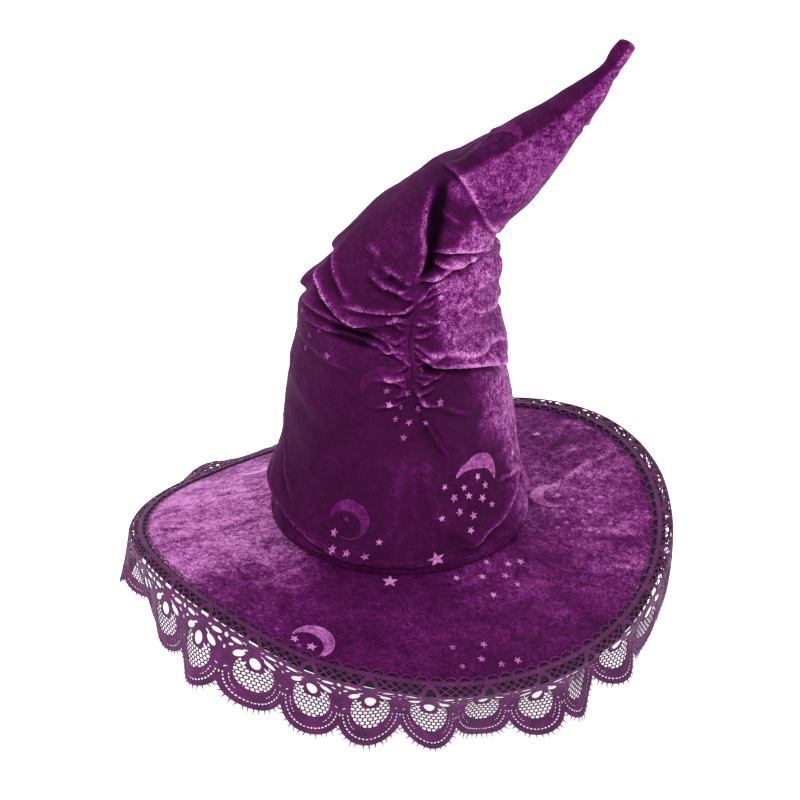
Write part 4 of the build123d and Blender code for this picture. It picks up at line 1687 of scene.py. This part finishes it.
def make_brim_inside():
    """The needled stiffener, and the wire that holds the brim's waves."""
    angle, radius = np.meshgrid(turned(300), np.linspace(CROWN_R - 6, VELVET_EDGE_R, 40))
    flat = polar(radius, angle, 0 * radius)
    upper = on_brim(angle, radius, STIFFENER_TOP - 0.15 + 0.12 * noise(flat, 6, 91, 2))
    lower = on_brim(angle, radius, STIFFENER_TOP - STIFFENER + 0.12 * noise(flat, 6, 92, 2))
    felt = two_sided("stiffener", upper, lower, CAD_MATERIALS["stiffener"])
    fasten(felt, "stiffener", "brim_stiffener")

    around, section = np.meshgrid(turned(560), -turned(12), indexing="ij")
    half = WIRE_THICK / 2 * (1 + 0.02 * np.sin(around * 700))
    tube = on_brim(around, WIRE_R + half * np.cos(section), WIRE_MIDDLE + half * np.sin(section))
    tube = np.concatenate([tube, tube[:1]])
    wire = make_mesh("edge_wire", tube, grid_faces(*tube.shape[:2]), [CAD_MATERIALS["wire"]])
    fasten(wire, "wire", "brim_wire")


def make_facing():
    """Black cloth under the brim, quilted to the stiffener in rings."""
    radii = [CROWN_R - 6.0]
    for row in FACING_ROWS:
        radii += [row - 7.0, row - 4.0, row - 1.6, row - 0.7, row, row + 0.7, row + 1.6, row + 4.0]
    radii.append(VELVET_EDGE_R)
    angle, radius = np.meshgrid(turned(420), np.array(radii))
    flat = polar(radius, angle, 0 * radius)
    upper = on_brim(angle, radius, FACING_TOP - 0.05)
    nearest = np.min([np.abs(radius - row) for row in FACING_ROWS], 0)
    puff = 0.75 * step(0, 6, nearest)
    pucker = 0.16 * np.sin(angle * radius / 2.4 + 3 * noise(flat, 40, 93, 1)) * step(5, 1, nearest)
    soft = 0.25 * noise(flat, 36, 94, 3) * step(0, 5, nearest)
    lower = on_brim(angle, radius, FACING_TOP - FACING_THICK + 0.45 - puff - pucker - soft)
    facing = fasten(two_sided("facing", upper, lower, FACING), "facing", "brim_facing")
    rows = []
    for row in FACING_ROWS:
        a = turned(420)
        line = on_brim(a, np.full(420, float(row)), FACING_TOP - FACING_THICK + 0.3)
        rows.append((line, np.tile([0.0, 0.0, -1.0], (420, 1))))
    stitches = make_stitches("facing_stitches", rows, "facing")


def make_binding():
    """The strip folded round the brim's edge, sewn through on both faces."""
    inner, outer, top, foot, bend = BINDING_INNER_R, BRIM_R, BINDING_TOP, BINDING_FOOT, 1.5
    corner = np.radians([0, 30, 60, 90])
    path = [(inner, top), (inner + 1, top), (inner + 2, top), (inner + 3, top), (inner + 5, top)]
    path += [(outer - bend + bend * math.sin(t), top - bend + bend * math.cos(t)) for t in corner]
    path += [(outer, (top + foot) / 2)]
    path += [(outer - bend + bend * math.cos(t), foot + bend - bend * math.sin(t)) for t in corner]
    path += [(inner + 5, foot), (inner + 3, foot), (inner + 2, foot), (inner + 1, foot), (inner, foot)]
    path = np.array(path)
    along = np.gradient(path, axis=0)
    out = np.stack([-along[:, 1], along[:, 0]], -1)
    out /= np.linalg.norm(out, axis=1, keepdims=True)
    columns = 560
    angle, r = np.meshgrid(turned(columns), path[:, 0])
    _, z = np.meshgrid(turned(columns), path[:, 1])
    flat = polar(r, angle, z * 3)
    middle = step(0, 4, r - inner)[..., None]
    ripple = 0.12 * np.sin(angle * 330 + 2 * noise(flat, 30, 95, 1)) * step(7, 2, r - inner)
    ripple = ripple + 0.14 * noise(flat, 14, 96, 2)
    swell = np.minimum(0.0, ripple - 0.14) * (0.4 + 0.6 * middle[..., 0])
    crease = -0.28 * bell(r - inner - 2, 0.6)
    surface = []
    for depth in (0.0, BINDING_THICK):
        push = (swell + crease) * (1.0 if depth == 0 else 0.0) - depth
        surface.append(on_brim(angle, r + push * out[:, :1], z + push * out[:, 1:]))
    strip = two_sided("edge_binding_strip", surface[0], surface[1], BINDING)
    binding = fasten(strip, "binding", "edge_binding")
    rows = []
    for lift, up in ((top - 0.12, 1.0), (foot + 0.12, -1.0)):
        line = on_brim(turned(columns), np.full(columns, inner + 2.0), lift)
        rows.append((line, np.tile([0.0, 0.0, up], (columns, 1))))
    stitches = make_stitches("binding_stitches", rows, "binding")


def ribbed_band(name, radius, thick, foot, top, ribs, columns_per_rib, depth, material):
    """A ribbon standing round the head opening, with ribs across it and a firm selvedge along each edge."""
    heights = np.concatenate([foot + np.array([0, 0.25, 0.8, 1.1]), np.linspace(foot + 2, top - 2, 9),
                              top - np.array([1.1, 0.8, 0.25, 0])])
    angle, z = np.meshgrid(turned(ribs * columns_per_rib), heights)
    flat = polar(radius, angle, z)
    rib = depth * 0.5 * (1 - np.cos(angle * ribs))
    rib = rib * step(foot + 0.7, foot + 1.2, z) * step(top - 0.7, top - 1.2, z)
    wave = 0.22 * (1 + noise(flat, 60, 97, 2)) * step(foot, foot + 12, z)
    edge = 0.2 * (step(foot + 0.3, foot, z) + step(top - 0.3, top, z))
    near = radius - wave + rib + edge
    far = radius + thick - wave * 0.5 - edge
    return two_sided(name, polar(near, angle, z), polar(far, angle, z), material)


def make_head_opening():
    """The grosgrain sweatband and the tape behind it."""
    foot, top = (1000 * corner[2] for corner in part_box("sweatband"))
    material = CAD_MATERIALS["sweatband"]
    ribbon = ribbed_band("sweatband_ribbon", HEAD_R - 1.2, 1.1, foot, top, 380, 4, 0.3, material)
    fasten(ribbon, "sweatband", "sweatband")
    line = polar(HEAD_R - 1.25, turned(300), np.full(300, foot + 3.0))
    stitches = make_stitches("sweatband_stitches", [(line, -line / HEAD_R * [1, 1, 0])], "sweatband")

    foot, top = (1000 * corner[2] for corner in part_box("crown_joint_tape"))
    tape = ribbed_band("joint_tape", HEAD_R + 1.3, 0.9, foot, top, 300, 3, 0.15, CAD_MATERIALS["tape"])
    fasten(tape, "tape", "crown_joint_tape")


def make_labels():
    """The two blank labels, which hang from the sweatband."""

    for node in ("care_label", "size_label"):
        low, high = (1000 * np.array(corner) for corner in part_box(node))
        x, z = np.meshgrid(np.linspace(low[0], high[0], 14), np.linspace(low[2], high[2], 22))
        width, height = high[0] - low[0], high[2] - low[2]
        s, t = (x - low[0]) / width, (z - low[2]) / height
        lean = 0.17 * height * t + 1.6 * np.sin(2.6 * t) * (0.5 + s) + 0.5 * np.sin(7 * s + 2 * t) * t
        selvedge = 0.08 * (step(0.06, 0.0, s) + step(0.94, 1.0, s) + step(0.94, 1.0, t))
        front = np.stack([x, low[1] - lean - selvedge, z], -1)
        back = front + [0, 0.4, 0]
        label = two_sided(node + "_cloth", back, front, CAD_MATERIALS["label"], closed=False)
        fasten(label, "label", node)


# ---------------------------------------------------------------- floor, light, camera


def make_stage():
    floor_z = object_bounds()[0][2]
    bpy.ops.mesh.primitive_plane_add(size=12, location=(0, 0, floor_z - 0.0006))
    floor = bpy.context.object
    floor.name = "floor"
    n = Nodes("floor_paper")
    speck = n.noise(n.coordinates(), 60, 3, 0.5)
    colour = n.ramp(speck, [(0.3, (0.88, 0.88, 0.885, 1)), (0.7, (0.92, 0.92, 0.925, 1))])
    paper = n.finish(colour, None, None, Roughness=0.9, Emission_Color=(1, 1, 1, 1), Emission_Strength=0.8)
    floor.data.materials.append(paper)
    world = bpy.data.worlds.new("world")
    bpy.context.scene.world = world
    world.use_nodes = True
    world.node_tree.nodes["Background"].inputs["Color"].default_value = (1.0, 1.0, 1.0, 1)
    world.node_tree.nodes["Background"].inputs["Strength"].default_value = 0.95
    for name, place, size, power in (
        ("key", (-1.5, -1.7, 2.4), 1.2, 46),
        ("fill", (2.2, -1.2, 1.3), 1.6, 16),
        ("rim", (0.6, 2.2, 2.0), 1.4, 22),
    ):
        light = bpy.data.lights.new(name, "AREA")
        light.size, light.energy = size, power
        obj = bpy.data.objects.new(name, light)
        obj.location = place
        aim = Vector((0, 0, 0.12)) - obj.location
        obj.rotation_euler = aim.to_track_quat("-Z", "Y").to_euler()
        bpy.context.collection.objects.link(obj)
    bpy.context.scene.view_settings.view_transform = "Standard"


def make_camera():
    elevation = math.radians(29)
    distance = 1.8
    target = Vector((0, 0, 0.096))
    data = bpy.data.cameras.new("camera")
    data.sensor_width, data.lens = 36, 104.5
    obj = bpy.data.objects.new("camera", data)
    obj.location = target + distance * Vector((0, -math.cos(elevation), math.sin(elevation)))
    obj.rotation_euler = (target - obj.location).to_track_quat("-Z", "Y").to_euler()
    bpy.context.collection.objects.link(obj)
    bpy.context.scene.camera = obj


make_camera()
dress_cad_nodes()
make_crown()
make_brim()
make_brim_inside()
make_facing()
make_binding()
make_head_opening()
make_labels()
lace, lace_area = make_lace()
fringe = make_fringe()
make_stage()
